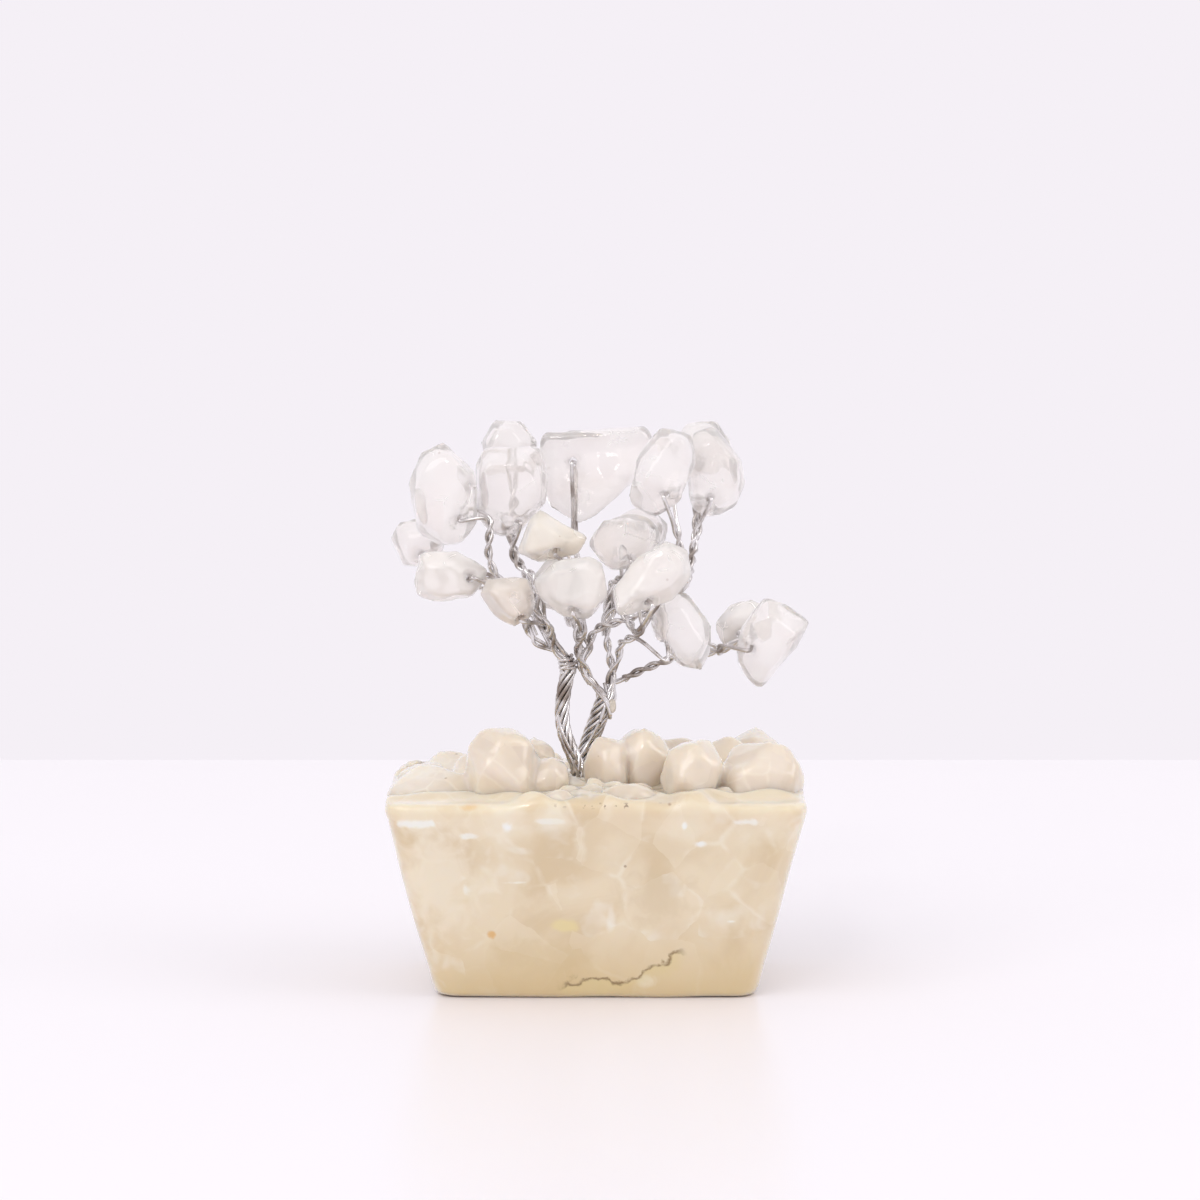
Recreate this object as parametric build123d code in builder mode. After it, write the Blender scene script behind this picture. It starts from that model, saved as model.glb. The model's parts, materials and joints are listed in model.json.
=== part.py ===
from build123d import *
from dataclasses import dataclass
import math
import os

# Gemstone tree ornament: a cast block of resin and stone chips carries a tree of twisted wire.
# Lengths are in mm, angles in degrees. Z is up, the front is -Y, the middle of the foot is the origin.

# Resin block
FOOT_WIDTH = 33.0
FOOT_DEPTH = 19.0
BLOCK_HEIGHT = 21.0
BLOCK_DRAFT = 14.2
BLOCK_CORNER = 2.6
FOOT_BEVEL = 0.6

# Wire: flat-sided here, with the section area of round wire of this size
WIRE_SIZE = 0.40
WIRE_SIDES = 4
STRAND_GAP = 0.03
PAIR_PITCH = 3.5
PAIR_STEPS = 4
ROPE_PITCH = 9.0
ROPE_STEPS = 5

# Trunk: strands in the core and in the ring round it, and how far they stand in the resin
LEFT_CORE = 1
LEFT_RING = 7
RIGHT_CORE = 3
RIGHT_RING = 9
LIMB_RING = 4
ROOT_DEPTH = 4.5
SOCKET_GAP = 0.12
SOCKET_SIDES = 12

# Leaf stones on their wire loops
BORE = 1.0
BORE_EDGE = 1.8
FORK_GAP = 0.75
LOOP_BEND = 0.5
LOOP_CLEARANCE = 0.32
LEAF_GAP = 0.9
LEAF_TAPER = 0.2
LEAF_BEVEL = 26
LEAF_UNEVEN = 24
LEAF_STEP = 29
FACE_TILT = 0.3

# Chips in and on the block
TOPPING_FACETS = 16
TOPPING_GAP = 0.16
TRUNK_CLEARANCE = 0.5
CAST_FACETS = 10
CAST_GAP = 0.5
CAST_SKIN = 0.8
CAST_COLUMNS = 4
CAST_ROWS = 2
CAST_SIZE = (7.6, 5.4, 6.2)
CAST_FOOT = 1.2
CAST_HEADROOM = 3.3
CAST_SCATTER = 1.2
CAST_LEAN = 80
CAST_TAPER = 0.3

RIM_INSET = 0.35

# Flat-cut stones: the rough block they start as, how deep the flats go, and how far corners stand out
ROUGH = 30.0
FLAT_DEPTH = 0.97
HULL_MARGIN = 1.3
GOLDEN = (math.sqrt(5) - 1) / 2
GROUND = BLOCK_HEIGHT
SPREAD = math.tan(math.radians(BLOCK_DRAFT))
WIRE_TURN = 2 * math.pi / WIRE_SIDES
WIRE_CORNER = WIRE_SIZE / 2 * math.sqrt(WIRE_TURN / math.sin(WIRE_TURN))
STRAND_ROOM = WIRE_CORNER + STRAND_GAP / 2

os.makedirs("parts", exist_ok=True)


def above(x, y, z):
    """A place measured from the middle of the block's top face."""
    return Vector(x, y, GROUND + z)


def jitter(count):
    """A repeatable value between -0.5 and 0.5."""
    return (count * GOLDEN) % 1 - 0.5


def write(shape, name):
    shape.label = name
    export_step(shape, f"parts/{name}.step")


def group(solids, name):
    write(Compound(children=list(solids)), name)


# Wires

def route(points, start=None, end=None):
    """The centre line of a twig or bundle, with the directions it starts and ends in where they matter."""
    with BuildLine() as centre:
        if start is None:
            Spline(*points)
        else:
            Spline(*points, tangents=(start, end))
    return centre.line.edges()[0]


def stations(line, steps, end_side):
    """Planes across a centre line from its end to its start, none turned about the line."""
    planes = []
    side = end_side
    for count in range(steps + 1):
        along = 1 - count / steps
        heading = line % along
        side = (side - heading * side.dot(heading)).normalized()
        planes.append(Plane(origin=line @ along, x_dir=side, z_dir=heading))
    return planes


def strand(planes, radius, phase, step_turn):
    """The places of one strand that winds round a centre line."""
    places = []
    for count, plane in enumerate(planes):
        offset = Vector(radius, 0, 0).rotate(Axis.Z, phase + count * step_turn)
        places.append(plane.from_local_coords(offset))
    return places


def wire(places, floor=None):
    """One length of wire through the given places, mitred where it turns."""
    with BuildPart() as run:
        with BuildLine():
            Polyline(*places)
        with BuildSketch(Plane(origin=places[0], z_dir=places[1] - places[0])):
            RegularPolygon(WIRE_CORNER, WIRE_SIDES)
        sweep(transition=Transition.RIGHT)
        if floor is not None:
            split(bisect_by=Plane.XY.offset(floor), keep=Keep.TOP)
    return run.part.solids()[0]


def ring_radius(strands, steps):
    """How far from the middle the strands of one ring lie so that neighbours stay apart."""
    if strands < 2:
        return 0.0
    return STRAND_ROOM / math.sin(math.pi / strands) / math.cos(math.pi / steps)


def rope(line, core, ring, pitch, steps, floor=None):
    """A bundle of strands: a core and a ring round it, laid the same way, cut level where they stand."""
    count = max(3, round(line.length / pitch * steps))
    planes = stations(line, count, Vector(0, -1, 0))
    inner = ring_radius(core, steps)
    outer = ring_radius(ring, steps)
    if core:
        outer = max(outer, inner + 2 * STRAND_ROOM / math.cos(math.pi / steps))
    made = []
    for radius, strands in ((inner, core), (outer, ring)):
        for number in range(strands):
            made.append(wire(strand(planes, radius, 360 / strands * number, -360 / steps), floor))
    return made


def rope_radius(core, ring, steps):
    outer = ring_radius(ring, steps)
    if core:
        outer = max(outer, ring_radius(core, steps) + 2 * STRAND_ROOM / math.cos(math.pi / steps))
    return outer + WIRE_CORNER


# Stones

def facet_directions(count, turn):
    """Directions spread evenly over a ball, turned so that no two stones are cut alike."""
    directions = []
    for number in range(count):
        height = 1 - (2 * number + 1) / count
        angle = 2 * math.pi * (GOLDEN * number + turn)
        reach = math.sqrt(1 - height * height)
        directions.append(Vector(reach * math.cos(angle), reach * math.sin(angle), height))
    return directions


@dataclass
class Stone:
    """A tumbled chip: the flat-cut hull of two round lumps, one at each end of its long side."""

    middle: Vector
    across: Vector
    along: Vector
    size: tuple
    taper: float
    turn: float

    @property
    def through(self):
        return self.across.cross(self.along)

    def lumps(self):
        wide, tall, _ = self.size
        small = min(wide, tall) / 2
        tip = small * (1 - self.taper)
        axis = self.along if tall >= wide else self.across
        half = max(wide, tall) / 2
        return ((axis * (half - small), small), (axis * (tip - half), tip))

    def reach(self, direction):
        """How far the stone goes from its middle in a direction."""
        flat = direction.dot(self.through)
        in_plane = max(0.0, 1 - flat * flat)
        best = 0.0
        for centre, radius in self.lumps():
            thick = self.size[2] / 2 * (0.75 + 0.25 * radius / (min(self.size[:2]) / 2))
            lump = math.hypot(math.sqrt(in_plane) * radius, flat * thick)
            best = max(best, direction.dot(centre) + lump)
        return best

    def facets(self, count):
        """Flat cuts, as a place on the cut and the way it faces."""
        cuts = []
        for way in facet_directions(count, self.turn):
            direction = self.across * way.X + self.through * way.Y + self.along * way.Z
            cuts.append((self.middle + direction * self.reach(direction) * FLAT_DEPTH, direction))
        return cuts

    def apart(self, other, gap):
        """The cut that keeps this stone clear of a neighbour, or nothing where they are far apart."""
        span = other.middle - self.middle
        direction = span.normalized()
        mine = self.reach(direction) * HULL_MARGIN
        theirs = other.reach(direction * -1) * HULL_MARGIN
        if mine + theirs + gap < span.length:
            return []
        share = mine / (mine + theirs)
        return [(self.middle + direction * (share * (span.length - gap)), direction)]


def cut(stone, cuts):
    """Cut a stone out of a rough block, one flat at a time."""
    with BuildPart() as chip:
        with Locations(stone.middle):
            Box(ROUGH, ROUGH, ROUGH)
        for place, direction in cuts:
            split(bisect_by=Plane(origin=place, z_dir=direction), keep=Keep.BOTTOM)
    return chip.part


def clear_of(stones, gap):
    """For every stone, the cuts against all its neighbours."""
    return [[c for other in stones if other is not one for c in one.apart(other, gap)] for one in stones]


# Chips cast into the block: two layers behind the front and the back face

def block_half(size, height):
    return size / 2 + SPREAD * height


def block_walls(inset):
    """The faces of the block, moved inwards by a skin of resin."""
    walls = [(Vector(0, 0, inset), Vector(0, 0, -1)), (Vector(0, 0, GROUND - inset), Vector(0, 0, 1))]
    lean = math.radians(BLOCK_DRAFT)
    for side in (-1, 1):
        for size, axis in ((FOOT_WIDTH, Vector(side, 0, 0)), (FOOT_DEPTH, Vector(0, side, 0))):
            normal = axis * math.cos(lean) - Vector(0, 0, math.sin(lean))
            walls.append((axis * (size / 2) - normal * inset, normal))
    return walls


def foot_bevels():
    """The cuts that take the sharp edge off the foot."""
    bevels = []
    for side in (-1, 1):
        for size, axis in ((FOOT_WIDTH, Vector(side, 0, 0)), (FOOT_DEPTH, Vector(0, side, 0))):
            bevels.append((axis * (size / 2 - FOOT_BEVEL), (axis - Vector(0, 0, 1)).normalized()))
    return bevels


def cast_stones(side, first):
    stones = []
    for row in range(CAST_ROWS):
        height = CAST_FOOT + (row + 0.5) * (GROUND - CAST_FOOT - CAST_HEADROOM) / CAST_ROWS
        for column in range(CAST_COLUMNS):
            number = first + row * CAST_COLUMNS + column
            half = block_half(FOOT_WIDTH, height) - CAST_SIZE[0] / 2
            x = half * (2 * column / (CAST_COLUMNS - 1) - 1) + CAST_SCATTER * jitter(number)
            y = side * (block_half(FOOT_DEPTH, height) - CAST_SIZE[2] / 2 - CAST_SKIN)
            lean = math.radians(CAST_LEAN * jitter(number * 3))
            across = Vector(math.cos(lean), 0, math.sin(lean))
            along = Vector(-math.sin(lean), 0, math.cos(lean))
            middle = Vector(x, y, height + CAST_SCATTER * jitter(number * 5))
            stones.append(Stone(middle, across, along, CAST_SIZE, CAST_TAPER, jitter(number * 7)))
    return stones


# Topping stones: place, size (across, upright, in depth), lean and taper. The place is a share of the room
# that the stone has between the rims, sideways and in depth, and then its height over the top face.
TOPPING_FRONT = (
    ((-0.98, -0.64, -0.3), (8.6, 4.4, 7.0), 4, 0.35),
    ((-0.52, -0.68, 2.3), (7.0, 9.0, 6.2), 6, 0.10),
    ((-0.24, -0.60, 1.2), (3.6, 5.0, 5.0), -12, 0.30),
    ((-0.23, -0.95, -1.4), (5.8, 4.6, 3.6), 10, 0.30),
    ((0.53, -0.69, 1.8), (5.8, 7.4, 6.0), -8, 0.25),
    ((0.99, -0.57, 0.8), (9.4, 7.6, 7.2), 20, 0.25),
    ((0.18, -0.87, -0.8), (6.4, 4.4, 4.2), -5, 0.30),
)
TOPPING_MIDDLE = (
    ((-0.32, -0.21, 1.8), (3.8, 6.2, 4.4), -6, 0.20),
    ((0.07, -0.36, 2.0), (3.7, 7.0, 4.4), 5, 0.20),
    ((0.25, -0.23, 2.3), (5.4, 7.2, 5.6), -4, 0.20),
    ((0.72, 0.18, 1.4), (5.6, 5.6, 5.6), 14, 0.20),
    ((-0.95, 0.13, -0.4), (5.2, 4.2, 5.6), -10, 0.25),
    ((-0.68, 0.09, -0.2), (6.4, 4.8, 6.4), 12, 0.25),
)
TOPPING_BACK = (
    ((-0.85, 0.73, -0.9), (7.4, 4.2, 6.6), 5, 0.30),
    ((-0.41, 0.73, -0.4), (7.0, 4.8, 6.6), -12, 0.25),
    ((0.02, 0.74, 0.3), (7.0, 5.6, 6.0), 8, 0.25),
    ((0.43, 0.68, 0.6), (6.6, 5.6, 7.2), -6, 0.25),
    ((0.91, 0.71, 1.0), (7.6, 5.6, 6.0), 10, 0.25),
)


def topping_stones(rows, first):
    stones = []
    for number, ((sideways, deep, height), size, lean, taper) in enumerate(rows, first):
        wide, _, thick = size
        x = sideways * (block_half(FOOT_WIDTH, GROUND) - wide / 2)
        y = deep * (block_half(FOOT_DEPTH, GROUND) - thick / 2)
        tilt = math.radians(lean)
        across = Vector(math.cos(tilt), 0, math.sin(tilt))
        along = Vector(-math.sin(tilt), 0, math.cos(tilt))
        stones.append(Stone(above(x, y, height), across, along, size, taper, jitter(number * 11)))
    return stones


def rim_cuts():
    """Topping stones stay inside the rim, above it as well as below."""
    cuts = [wall for wall in block_walls(RIM_INSET) if abs(wall[1].Z) < 0.9]
    for size, axis in ((FOOT_WIDTH, Vector(1, 0, 0)), (FOOT_DEPTH, Vector(0, 1, 0))):
        for side in (-1, 1):
            cuts.append((axis * (side * (block_half(size, GROUND) - RIM_INSET)), axis * side))
    return cuts


# Trunk: two bundles that stand in sockets in the block and lean apart
TRUNK_LEFT = ((-1.7, -1.15, 0.6), (-3.1, -0.9, 4.7), (-3.5, -0.6, 8.9), (-2.8, -0.4, 12.3))
TRUNK_RIGHT = ((-1.3, 1.15, 0.6), (-0.4, 0.8, 5.0), (0.6, 0.4, 7.7), (1.2, 0.2, 9.4))


def trunk_line(points):
    """Upright in the socket, then out along the bundle's own curve."""
    foot, top = above(*points[0]), above(*points[-1])
    with BuildLine() as centre:
        Line(above(points[0][0], points[0][1], -ROOT_DEPTH - WIRE_SIZE), foot)
        Spline(*[above(*p) for p in points], tangents=(Vector(0, 0, 1), top - above(*points[-2])))
    return centre.wires()[0]


def trunk_cut(stone):
    """Keep a topping stone clear of the trunk."""
    centre = Vector((TRUNK_LEFT[0][0] + TRUNK_RIGHT[0][0]) / 2, 0, stone.middle.Z)
    span = centre - stone.middle
    radius = abs(TRUNK_RIGHT[0][1]) + rope_radius(RIGHT_CORE, RIGHT_RING, ROPE_STEPS) + TRUNK_CLEARANCE
    direction = span.normalized()
    room = span.length - radius
    if stone.reach(direction) * HULL_MARGIN < room:
        return []
    return [(stone.middle + direction * room, direction)]


# Limb spines: the left limb is a small rope, the others are twisted pairs
LIMB_LEFT = ((-3.05, -0.4, 13.1), (-4.2, -0.2, 14.4), (-5.2, 0.0, 15.9), (-6.1, 0.2, 17.6),
             (-7.9, 0.4, 21.3))
BRANCH_MIDDLE = ((0.2, -0.6, 10.3), (-1.1, -0.5, 11.6), (-1.7, -0.5, 13.1), (-1.9, -0.3, 15.2),
                 (-2.0, 0.0, 17.1), (-2.0, 0.9, 23.6))
BRANCH_RIGHT = ((1.7, 0.45, 10.4), (1.7, 0.4, 12.0), (1.35, 0.3, 14.1), (1.15, 0.3, 16.0),
                (1.3, 0.5, 18.0), (1.6, 0.8, 20.6))
LIMB_LOW = ((2.9, 0.9, 10.9), (4.7, 0.9, 11.8), (7.3, 1.2, 12.8), (9.4, 1.5, 13.5), (11.7, 1.3, 13.9))


@dataclass
class Leaf:
    """A leaf chip: its size across and along its twig and along its hole, the way its twig comes up to it,
    the way its hole runs, where the twig starts, and its outline from the front, clockwise."""

    name: str
    middle: tuple
    size: tuple
    rise: tuple
    bore: tuple
    start: tuple
    leave: tuple
    outline: tuple
    via: tuple = ()
    thick: float = 4.8
    edge: float = BORE_EDGE
    shift: float = 0.0
    splay: float = 0.38

    def frame(self):
        rise = Vector(*self.rise).normalized()
        bore = Vector(*self.bore)
        bore = (bore - rise * bore.dot(rise)).normalized()
        return rise, bore

    def stone(self):
        rise, bore = self.frame()
        return Stone(above(*self.middle), rise.cross(bore), rise, self.size, LEAF_TAPER, 0)

    def hole(self):
        rise, bore = self.frame()
        return above(*self.middle) - rise * (self.size[1] / 2 - self.edge) + rise.cross(bore) * self.shift

    def spread(self):
        """Half the width of the wire loop at the hole."""
        return self.size[2] * self.splay + 0.25

    def drop(self):
        """From the hole down to where the two legs of the loop meet."""
        return self.edge + FORK_GAP

    def loop(self):
        """The loop's places, from the twisted pair through the hole and back, in its own plane."""
        rise, bore = self.frame()
        bend = LOOP_BEND
        slant = bend * (1 - math.sqrt(0.5))
        wide = self.spread()
        outline = ((wide, -bend), (wide - slant, -slant), (wide - bend, 0))
        half = [self.hole() + bore * a + rise * t for a, t in outline]
        other = [self.hole() - bore * a + rise * t for a, t in outline]
        return half + other[::-1]

    def leg_cuts(self):
        """The cuts that keep the stone inside the two legs of its loop."""
        rise, bore = self.frame()
        cuts = []
        for side in (-1, 1):
            low = self.hole() - rise * self.drop() + bore * (side * pair_radius())
            high = self.hole() - rise * LOOP_BEND + bore * (side * self.spread())
            leg = (high - low).normalized()
            outward = (bore * side - leg * (bore * side).dot(leg)).normalized()
            cuts.append((low - outward * (WIRE_CORNER + LOOP_CLEARANCE), outward))
        return cuts

    def outline_cuts(self, first):
        """Flats along the chip's outline, two to each side of it, and its two broad faces."""
        middle = above(*self.middle)
        cuts = []
        number = first
        for (x0, z0), (x1, z1) in zip(self.outline, self.outline[1:] + self.outline[:1]):
            place = middle + Vector((x0 + x1) / 2, 0, (z0 + z1) / 2)
            outward = Vector(z0 - z1, 0, x1 - x0).normalized()
            for side in (-1, 1):
                number += 1
                bevel = math.radians(LEAF_BEVEL + LEAF_UNEVEN * jitter(number))
                cuts.append((place, outward * math.cos(bevel) + Vector(0, side * math.sin(bevel), 0)))
        for side in (-1, 1):
            number += 1
            face = Vector(FACE_TILT * jitter(number), side, FACE_TILT * jitter(number * 3))
            cuts.append((middle + Vector(0, side * self.thick / 2, 0), face.normalized()))
        return cuts

    def twig(self):
        """One doubled wire: a twisted pair from the fork up to the loop in the stone."""
        rise, bore = self.frame()
        fork = self.hole() - rise * self.drop()
        points = [above(*self.start)] + [above(*p) for p in self.via] + [fork]
        line = route(points, Vector(*self.leave), rise)
        steps = max(3, round(line.length / PAIR_PITCH * PAIR_STEPS))
        planes = stations(line, steps, bore)
        one = strand(planes, pair_radius(), 0, -360 / PAIR_STEPS)
        two = strand(planes, pair_radius(), 180, -360 / PAIR_STEPS)
        return wire(one[::-1] + self.loop() + two)


def pair_radius():
    return ring_radius(2, PAIR_STEPS)


LEAVES_LEFT = (
    Leaf("left_outer", (-15.8, -1.8, 30.3), (11.3, 7.1, 5.0), (-1, 0.1, 0.05), (0.1, 1, 0.3),
         (-7.8, -0.6, 18.5), (-0.44, -0.05, 0.9),
         ((-3.5, 1.5), (-2.2, 4.7), (0.0, 5.7), (3.5, 2.6), (3.5, -2.6), (1.0, -5.7), (-2.6, -3.8)),
         via=((-11.2, -1.6, 25.2),), shift=1.7),
    Leaf("left_rear", (-18.8, 5.5, 25.0), (5.4, 5.8, 5.0), (-0.6, 0.1, 0.8), (0.4, 1, 0),
         (-7.8, 1.1, 18.5), (-0.6, 0.1, 0.8),
         ((-2.9, 0.5), (-2.0, 2.2), (0.5, 2.6), (2.9, 1.2), (2.6, -1.6), (0.6, -2.6), (-1.8, -2.4)),
         via=((-10.6, 2.2, 21.6),)),
    Leaf("left_top", (-8.8, 2.0, 30.6), (7.6, 9.5, 5.2), (0, 0, 1), (-0.5, 1, 0),
         (-5.75, -0.9, 19.4), (-0.3, -0.05, 0.95),
         ((-3.8, 3.0), (-2.8, 4.7), (2.8, 4.8), (3.8, 2.3), (3.5, -1.0),
          (0.6, -4.5), (-2.2, -4.8), (-3.7, -2.6)),
         via=((-6.7, -0.6, 22.2),)),
    Leaf("left_low", (-14.8, -3.6, 22.2), (5.2, 8.0, 4.4), (-0.95, -0.1, 0.3), (0, 1, -0.4),
         (-6.3, -0.5, 15.0), (-0.6, -0.1, 0.8),
         ((-4.0, -0.4), (-3.3, 2.5), (0.6, 2.6), (4.0, 0.6), (1.9, -2.1), (-1.3, -2.6), (-3.8, -2.0)),
         edge=2.4),
    Leaf("left_front", (-8.9, -7.0, 19.9), (5.0, 6.4, 4.8), (-0.8, -0.3, 0.5), (0.4, 1, 0.3),
         (-4.2, -1.4, 14.6), (-0.4, -0.2, 0.8),
         ((-3.0, 0.7), (-2.3, 2.3), (2.1, 2.5), (3.0, 0.6), (2.2, -1.5), (0.5, -2.5), (-1.5, -1.4))),
    Leaf("left_back", (-9.4, 9.6, 35.0), (6.2, 5.6, 4.6), (-0.1, 0.1, 1), (0.3, 1, 0),
         (-6.1, 1.4, 19.3), (-0.44, 0.1, 0.9),
         ((-2.9, 0.4), (-1.5, 2.8), (1.4, 2.6), (3.1, 0.4), (2.0, -2.6), (-1.8, -2.8)),
         via=((-8.6, 4.0, 24.5),)),
)
LEAVES_CROWN = (
    Leaf("middle_upper", (-4.5, -5.0, 26.5), (7.2, 5.6, 4.4), (-0.5, -0.3, 0.8), (0.4, 1, 0),
         (-2.7, -0.8, 19.6), (0, 0, 1),
         ((-3.6, -1.7), (-2.3, 1.8), (-1.3, 2.8), (3.6, -0.1), (2.7, -1.9), (-1.0, -2.8))),
    Leaf("middle_front", (-2.2, -8.5, 21.3), (8.1, 6.5, 4.8), (-0.2, -0.3, 0.9), (0.3, 1, 0),
         (-1.8, -1.8, 13.6), (-0.1, 0, 1),
         ((-4.1, 0.9), (-2.0, 2.9), (1.7, 3.3), (4.1, 2.2), (3.8, -0.3),
          (1.1, -3.3), (-1.0, -2.9), (-3.4, -0.9))),
    Leaf("middle_clear", (-0.1, 7.0, 32.0), (12.4, 10.6, 4.2), (0.0, 0.1, 1), (0.15, 1, 0),
         (-2.0, 1.9, 24.2), (0, 0.4, 1),
         ((-6.2, 4.5), (5.5, 5.3), (6.2, 3.8), (4.7, -0.1), (0.3, -4.3),
          (-1.5, -5.3), (-4.7, -3.3), (-5.7, -0.4)),
         edge=6.8, shift=2.2, thick=4.2),
    Leaf("middle_rear", (-3.8, 6.7, 20.4), (6.2, 6.2, 4.8), (-0.2, 0.3, 0.9), (0.2, 1, 0),
         (-2.2, 1.5, 16.8), (-0.1, 0.9, 0.4),
         ((-3.1, 0.6), (-1.2, 3.0), (2.2, 2.6), (3.1, -0.4), (0.9, -3.1), (-2.2, -2.4))),
    Leaf("right_inner", (3.4, -2.5, 25.6), (7.6, 6.0, 4.6), (0.15, -0.2, 1), (-0.3, 1, 0),
         (1.7, 0.0, 21.2), (0.1, -0.1, 1),
         ((-4.2, -0.1), (-2.7, 2.3), (-0.1, 3.0), (2.6, 2.6), (3.4, 0.6), (2.2, -2.4), (-1.8, -3.0))),
    Leaf("right_front", (5.3, -8.0, 22.3), (8.8, 7.7, 5.0), (0.1, -0.1, 1), (-0.4, 1, 0),
         (2.1, -0.5, 19.0), (0.4, -0.9, -0.1),
         ((-4.4, -2.3), (-1.1, 2.3), (2.0, 3.8), (4.2, 3.0), (4.4, 0.2),
          (2.7, -2.0), (-2.0, -3.8), (-4.2, -3.6))),
    Leaf("right_upper", (7.0, -1.0, 32.8), (6.9, 9.4, 4.6), (-0.25, 0, 1), (0.3, 1, 0),
         (9.0, -0.25, 22.0), (0, -0.1, 1),
         ((-3.4, -2.3), (-2.5, 1.8), (-0.2, 4.7), (2.9, 4.1), (3.4, 1.2),
          (1.7, -3.0), (-0.9, -4.7), (-2.9, -4.4)),
         edge=2.6),
    Leaf("right_outer", (12.6, 4.0, 32.6), (6.6, 9.8, 4.6), (0.3, 0.3, 1), (-0.2, 1, 0),
         (-0.6, -0.5, 14.4), (0, 0, 1),
         ((-3.3, 1.2), (-2.2, 4.3), (-0.2, 4.9), (2.9, 1.2), (3.3, -1.4),
          (2.1, -3.7), (-0.2, -4.9), (-2.5, -4.3)),
         via=((1.0, -1.5, 16.9), (5.7, -0.4, 18.4), (9.7, 0.5, 21.2))),
    Leaf("right_rear", (4.7, 7.0, 25.7), (6.2, 6.4, 4.8), (0.2, 0.2, 1), (-0.2, 1, 0),
         (1.8, 2.0, 18.4), (0.1, 0.1, 1),
         ((-3.0, -0.5), (-1.8, 2.6), (1.0, 3.2), (3.1, 1.0), (2.0, -2.8), (-1.2, -3.1))),
    Leaf("right_back", (11.4, 10.0, 34.8), (6.4, 5.8, 4.6), (0.1, 0.1, 1), (-0.2, 1, 0),
         (9.9, 2.0, 21.8), (0.1, 0.8, 0.5),
         ((-3.2, 0.2), (-1.6, 2.7), (1.6, 2.9), (3.2, 0.6), (1.9, -2.6), (-2.0, -2.9)),
         via=((10.6, 6.5, 25.0),)),
    Leaf("right_low", (8.8, -3.4, 16.5), (4.8, 6.6, 8.2), (0.95, -0.1, 0.15), (-0.1, 0.3, 1),
         (2.5, -0.3, 13.3), (-0.1, -0.1, 1),
         ((-3.2, 1.8), (-1.6, 3.4), (0.6, 4.0), (3.2, 0.6), (3.0, -2.2),
          (2.2, -4.0), (0.0, -3.6), (-2.6, -0.6)),
         splay=0.34),
)
LEAVES_LOW = (
    Leaf("low_rear", (15.8, 3.6, 16.4), (5.6, 6.0, 4.6), (0.6, 0.2, 0.8), (0, 1, 0.2),
         (12.4, 2.0, 14.2), (0.9, 0.3, 0.2),
         ((-3.1, 0.2), (-1.6, 2.2), (0.8, 2.7), (3.1, 1.1), (2.8, -1.2), (0.5, -2.7), (-2.4, -2.4))),
    Leaf("low_outer", (18.4, -2.0, 15.1), (9.6, 7.7, 4.6), (1, -0.1, 0.05), (0.1, 1, 0.3),
         (12.5, 0.6, 13.9), (0.9, -0.3, 0),
         ((-3.9, -1.8), (-3.1, 1.7), (-0.7, 4.8), (1.5, 4.1), (3.9, 2.2),
          (2.5, -0.5), (-1.1, -4.8), (-2.6, -3.6))),
)

# The block and the chips in it
front_chips = cast_stones(-1, 1)
back_chips = cast_stones(1, 41)
front_toppings = topping_stones(TOPPING_FRONT, 1)
middle_toppings = topping_stones(TOPPING_MIDDLE, 21)
back_toppings = topping_stones(TOPPING_BACK, 31)

toppings = front_toppings + middle_toppings + back_toppings
topping_solids = []
for stone, near in zip(toppings, clear_of(toppings, TOPPING_GAP)):
    topping_solids.append(cut(stone, stone.facets(TOPPING_FACETS) + near + trunk_cut(stone) + rim_cuts()))

chips = front_chips + back_chips
chip_solids = []
for stone, near in zip(chips, clear_of(chips + toppings, CAST_GAP)):
    chip_solids.append(cut(stone, stone.facets(CAST_FACETS) + near + block_walls(CAST_SKIN)))

trunks = ((TRUNK_LEFT, LEFT_CORE, LEFT_RING), (TRUNK_RIGHT, RIGHT_CORE, RIGHT_RING))
with BuildPart() as resin_base:
    with BuildSketch():
        Rectangle(2 * block_half(FOOT_WIDTH, GROUND), 2 * block_half(FOOT_DEPTH, GROUND))
    extrude(amount=BLOCK_HEIGHT)
    for place, normal in block_walls(0):
        if abs(normal.Z) < 1:
            split(bisect_by=Plane(origin=place, z_dir=normal), keep=Keep.BOTTOM)
    fillet(resin_base.edges().group_by(Axis.Z)[1], BLOCK_CORNER)
    for place, normal in foot_bevels():
        split(bisect_by=Plane(origin=place, z_dir=normal), keep=Keep.BOTTOM)
    for solid in chip_solids + topping_solids:
        add(solid, mode=Mode.SUBTRACT)
    for points, core, ring in trunks:
        radius = rope_radius(core, ring, ROPE_STEPS) + SOCKET_GAP
        with BuildSketch(Plane(origin=above(points[0][0], points[0][1], -ROOT_DEPTH))):
            RegularPolygon(radius, SOCKET_SIDES, major_radius=False)
        extrude(amount=2 * ROOT_DEPTH, mode=Mode.SUBTRACT)

write(resin_base.part, "resin_base")
group(chip_solids[:len(front_chips)], "cast_chips_front")
group(chip_solids[len(front_chips):], "cast_chips_back")
first_back = len(front_toppings) + len(middle_toppings)
group(topping_solids[:len(front_toppings)], "topping_front")
group(topping_solids[len(front_toppings):first_back], "topping_middle")
group(topping_solids[first_back:], "topping_back")

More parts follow.
